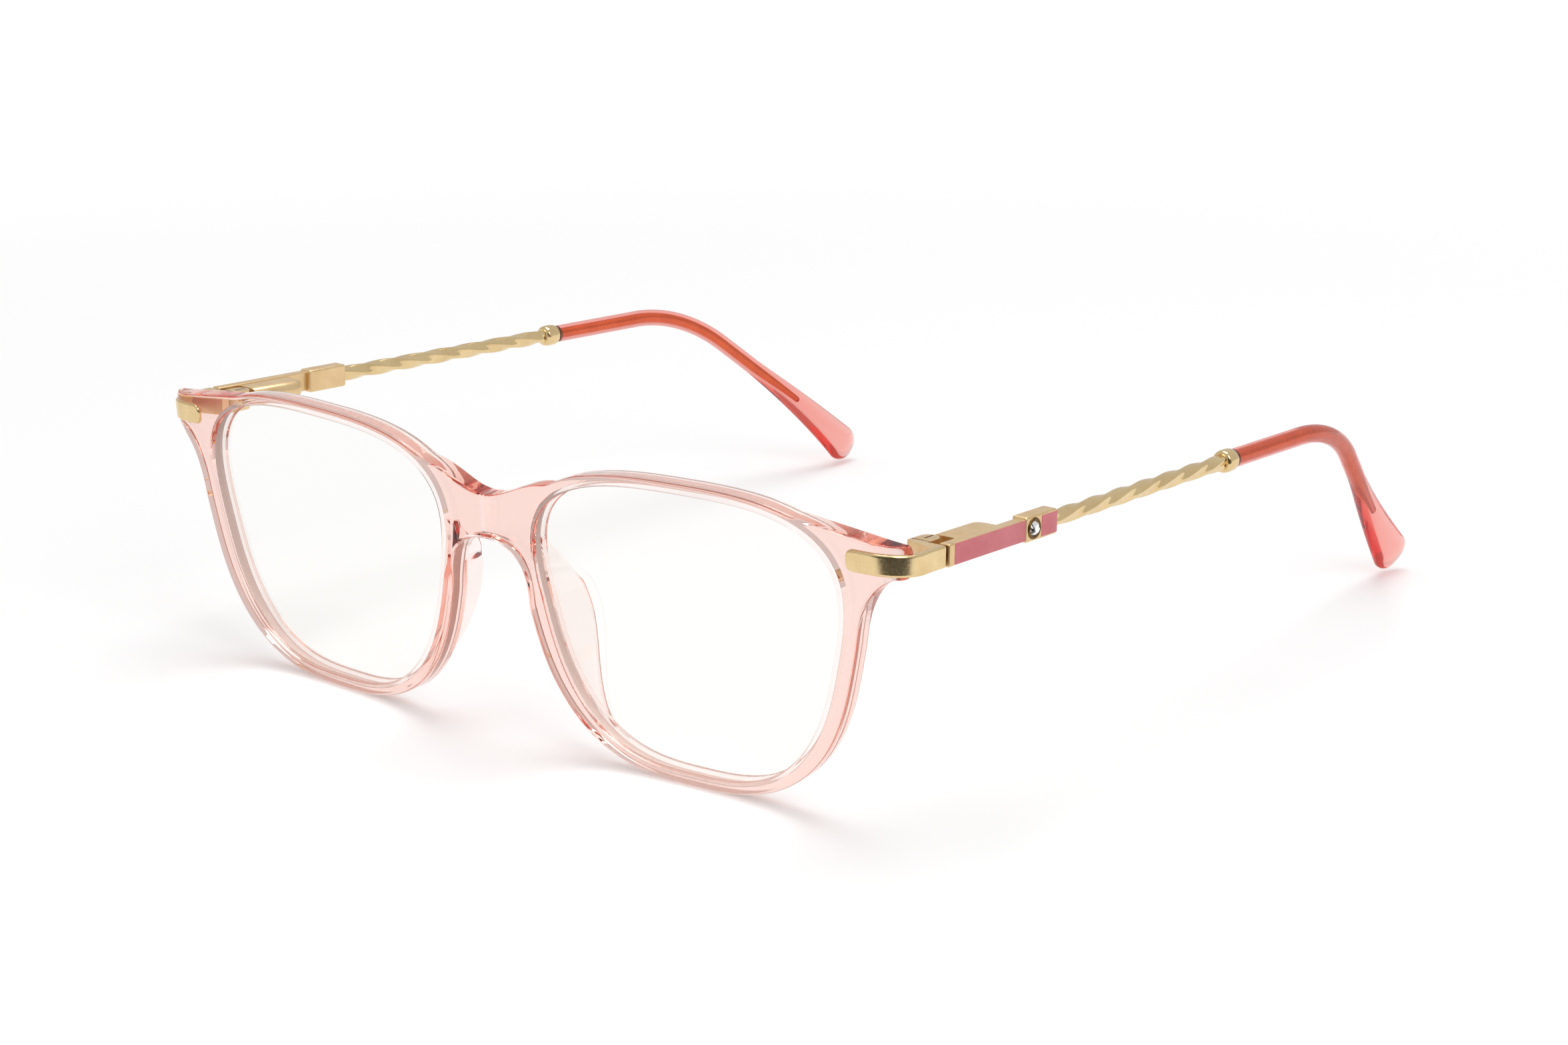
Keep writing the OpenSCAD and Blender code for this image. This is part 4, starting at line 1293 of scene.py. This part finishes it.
def tip_frame(s):
    """Middle of the tip at length s, its inner direction in the bend and its side, as l, a and w."""
    turned = np.clip((s - TIP_RUN) / EAR_R, 0, EAR_DROP)[:, None]
    straight = np.array([0, 1, 0])
    drop = np.array([-math.sin(EAR_IN), 0, -math.cos(EAR_IN)])
    aside = np.array([math.cos(EAR_IN), 0, -math.sin(EAR_IN)])
    ahead = np.cos(turned) * straight + np.sin(turned) * drop
    inside = np.cos(turned) * drop - np.sin(turned) * straight
    run = np.minimum(s, TIP_RUN)[:, None] * straight + np.maximum(s - end_at, 0)[:, None] * ahead
    bend = EAR_R * (np.sin(turned) * straight + (1 - np.cos(turned)) * drop)
    curl = TIP_CURL * (np.maximum(s - curl_at, 0) / (tip_l - curl_at)) ** 2
    return np.array([line_l, tip_start, 0]) + run + bend + curl[:, None] * aside, inside, aside


def tip_tube(s, half_w, half_t, flare, columns=32):
    """Superellipses along the tip's line. With the flare they grow squarer, move towards the inside of
    the bend, and lean: the toe side runs ahead and the heel side stays behind."""
    middle, inside, aside = tip_frame(s)
    q = full_turn(columns)
    flare = flare[:, None]
    power = 1 - PADDLE_SQUARE * flare
    wide = half_w[:, None] * signed_power(np.cos(q), power)
    thick = half_t[:, None] * signed_power(np.sin(q), power)
    lean = PADDLE_LEAN * flare**2 * (TOE_SHARE - (1 + wide / (PADDLE_W / 2)) / 2)
    wide = wide + PADDLE_LEAD * (PADDLE_W - TIP_D) * flare
    rows = middle[:, None] + wide[..., None] * inside[:, None] - thick[..., None] * aside
    rows = rows + lean[..., None] * np.cross(aside, inside)[:, None]
    return capped(temple_place(rows[..., 0], rows[..., 1], rows[..., 2]))


def tip_rows():
    """The tip: round at first, flared to the paddle, and closed by a round end."""
    cap_at = tip_l - cap_l
    cap = cap_at + cap_l * np.sin(np.linspace(0, math.pi / 2, 16))
    s = np.concatenate([START_STEPS, np.linspace(START_L, cap_at, 110)[:-1], cap])
    flare = np.clip((s - flare_at) / (cap_at - flare_at), 0, 1) ** FLARE_POWER
    size = round_end((s - cap_at) / cap_l) * np.interp(s, START_STEPS, START_SIZES) / 2
    half_w = (TIP_D + flare * (PADDLE_W - TIP_D)) * size
    half_t = (TIP_D + flare * (PADDLE_T - TIP_D)) * size
    return tip_tube(s, half_w, half_t, flare, columns=48)


def core_rows():
    """The core wire, from inside the ferrule to its rounded end in the paddle."""
    nose = end_at + CORE_PAST - CORE_NOSE * (1 - np.sin(np.linspace(0, math.pi / 2, 7)))
    s = np.concatenate([np.linspace(CORE_REST - FERRULE_L, nose[0], 80)[:-1], nose])
    half = CORE_D / 2 * round_end((s - nose[0]) / CORE_NOSE, least=0.1)
    return tip_tube(s, half, half, 0 * s)


def sleeve_rows():
    """The crimped sleeve at the tip's start: a short tube with rounded ends about the core. Its dark brown
    is partly painted shade.
    """
    s, inset = end_rounding(SLEEVE_AT, SLEEVE_L, SLEEVE_EDGE)
    half = SLEEVE_D / 2 - inset
    return tip_tube(s, half, half, 0 * s)


# The sleeve's dark brown is partly painted shade of the ferrule's end seen through the plastic.
grids = [(core_rows(), 0, False), (sleeve_rows(), 1, False)]
pair("core", grids, [core_bronze, bronze], "core_wire")
pair("coral_tip", [(tip_rows(), 0, False)], [tip_plastic], "temple_tip")

# %% [markdown]
# ## The pieces kept from the CAD model
# Screws, sliders, springs, bushes, nuts and pins already have their true shape, so they stay and only
# get a finish. The pins are seen through the plastic, and they take the pale film's colour, which paints
# the glow of lit plastic over their shaded metal.

# %% Finishes for the kept pieces
# The pins take the pale film, whose colour is painted glow of lit plastic over their shaded metal.
KEPT = {
    "endpiece_pin": painted_glow_film, "hinge_screw": polished_gold, "hinge_slider": satin_gold,
    "spring_nut": plain_steel, "flex_spring": plain_steel, "spring_bush": satin_gold,
}
for side in SIDES:
    for name, finish in KEPT.items():
        node_mesh = frame["nodes"][f"{side}_{name}"].data
        node_mesh.materials.clear()
        node_mesh.materials.append(finish)
print("kept pieces:", ", ".join(KEPT))

# %% [markdown]
# ## Floor
# The object stands on a white board in an open-fronted light box. The board is lifted for the camera and
# for rays that come through glass or off metal, and it keeps most of its true shading, which holds the
# shadow. It ends just below the picture. Past that edge lies the dark front of the room, and polished
# metal needs that: the corner bend of the endpiece shows it as one dark stripe.

# %% Floor
BOARD_FRONT = 120
BOARD_REACH = 2500
BOARD_SHADING = 0.8
BOARD_LIFT = 1.1
FADE_FROM = 250
FADE_TO = 700
WHITE = (1, 1, 1, 1)


def seen_rays(tree):
    """One for rays from the camera, off gloss or through glass, and nothing for the rest."""
    path = add(tree, "LightPath")
    first_two = {0: path.outputs["Is Camera Ray"], 1: path.outputs["Is Glossy Ray"]}
    either = add(tree, "Math", first_two, operation="MAXIMUM")
    return add(tree, "Math", {0: either, 1: path.outputs["Is Transmission Ray"]}, operation="MAXIMUM")


def board_material():
    """Matt white board: shaded as it is for light. Where it is seen it is lifted a fifth of the way, and
    further off it fades to plain white."""
    made, tree = empty_material("white_board")
    place = {0: add(tree, "TexCoord").outputs["Object"]}
    away = add(tree, "VectorMath", place, operation="LENGTH").outputs["Value"]
    keep = add(
        tree, "MapRange", {"Value": away}, interpolation_type="SMOOTHSTEP",
        From_Min=FADE_FROM * MM, From_Max=FADE_TO * MM, To_Min=BOARD_SHADING, To_Max=0.0,
    )
    matt = add(tree, "BsdfDiffuse", Color=(0.9, 0.9, 0.9, 1))
    lift = add(tree, "Emission", Color=WHITE, Strength=BOARD_LIFT)
    lifted = add(tree, "MixShader", {0: keep, 1: lift, 2: matt})
    surface = add(tree, "MixShader", {0: seen_rays(tree), 1: matt, 2: lifted})
    add(tree, "OutputMaterial", {"Surface": surface})
    return made


under_target = Vector((VIEW_TARGET.x, VIEW_TARGET.y, 0))
near_edge = under_target + BOARD_FRONT * to_front
far_edge = under_target - BOARD_REACH * to_front
aside = BOARD_REACH * level
corners = [near_edge - aside, near_edge + aside, far_edge + aside, far_edge - aside]
board_mesh = bpy.data.meshes.new("board")
board_mesh.from_pydata([corner * MM for corner in corners], [], [(0, 1, 2, 3)])
board_mesh.materials.append(board_material())
board = placed("board", board_mesh)
print("board ends", BOARD_FRONT, "mm in front of the view's middle")

# %% [markdown]
# ## Light
# The world is white for the camera. As a mirror image it is a greyer sky, which keeps gold from looking
# like paper, with a dark front: a patch that is low and on the camera's side. Light that turns inside the
# clear plastic sees that patch too, but fainter, because its edges are salmon in real life and not black.
# One large lamp overhead and a smaller one at the front right give the soft shadow and the highlights.

# %% World and lamps
GLOSSY_SKY = 0.68
CLEAR_SKY = 0.85
DARK_FRONT = 0.4
FAINT_FRONT = 0.75
FRONT_DROP = -0.4
PATCH_FROM = 0.45
PATCH_FULL = 0.85
LIGHTING = 0.55
world = bpy.data.worlds.new("light_box")
scene.world = world
world.use_nodes = True
tree = world.node_tree
tree.nodes.clear()
direction = add(tree, "TexCoord").outputs["Generated"]
low_front = (to_front.x, to_front.y, FRONT_DROP)
facing = add(tree, "VectorMath", {0: direction, 1: low_front}, operation="DOT_PRODUCT").outputs["Value"]
patch = add(
    tree, "MapRange", {"Value": facing}, interpolation_type="SMOOTHSTEP",
    From_Min=PATCH_FROM, From_Max=PATCH_FULL,
)
path = add(tree, "LightPath")
# Mirror bounces are counted up to one. Light that only passes through has none, and sees no dark front.
once_mirrored = add(tree, "MapRange", {"Value": path.outputs["Glossy Depth"]})
clear_ray = path.outputs["Is Transmission Ray"]
darkness = add(tree, "MapRange", {"Value": clear_ray}, To_Min=1 - DARK_FRONT, To_Max=1 - FAINT_FRONT)
patch_seen = add(tree, "Math", {0: patch, 1: once_mirrored}, operation="MULTIPLY")
fall = add(tree, "Math", {0: patch_seen, 1: darkness}, operation="MULTIPLY")
sky = add(tree, "MapRange", {"Value": once_mirrored}, To_Min=CLEAR_SKY, To_Max=GLOSSY_SKY)
left_over = add(tree, "Math", {0: sky, 1: fall}, operation="SUBTRACT", use_clamp=True)
bright = add(tree, "Math", {0: left_over, 1: path.outputs["Is Camera Ray"]}, operation="MAXIMUM")
seen = add(tree, "Background", {"Strength": bright}, Color=WHITE)
lighting = add(tree, "Background", Color=WHITE, Strength=LIGHTING)
surface = add(tree, "MixShader", {0: seen_rays(tree), 1: lighting, 2: seen})
add(tree, "OutputWorld", {"Surface": surface})


def softbox(name, place_mm, size_mm, watts):
    """A square lamp that looks at the frame's origin, which lies under the object's middle."""
    data = bpy.data.lights.new(name, "AREA")
    data.size = size_mm * MM
    data.energy = watts
    lamp = placed(name, data)
    lamp.location = Vector(place_mm) * MM
    lamp.rotation_euler = (-lamp.location).to_track_quat("-Z", "Y").to_euler()


softbox("overhead_softbox", (-200, 400, 2200), 1400, 25)
softbox("key_softbox", (500, -250, 450), 300, 1.1)
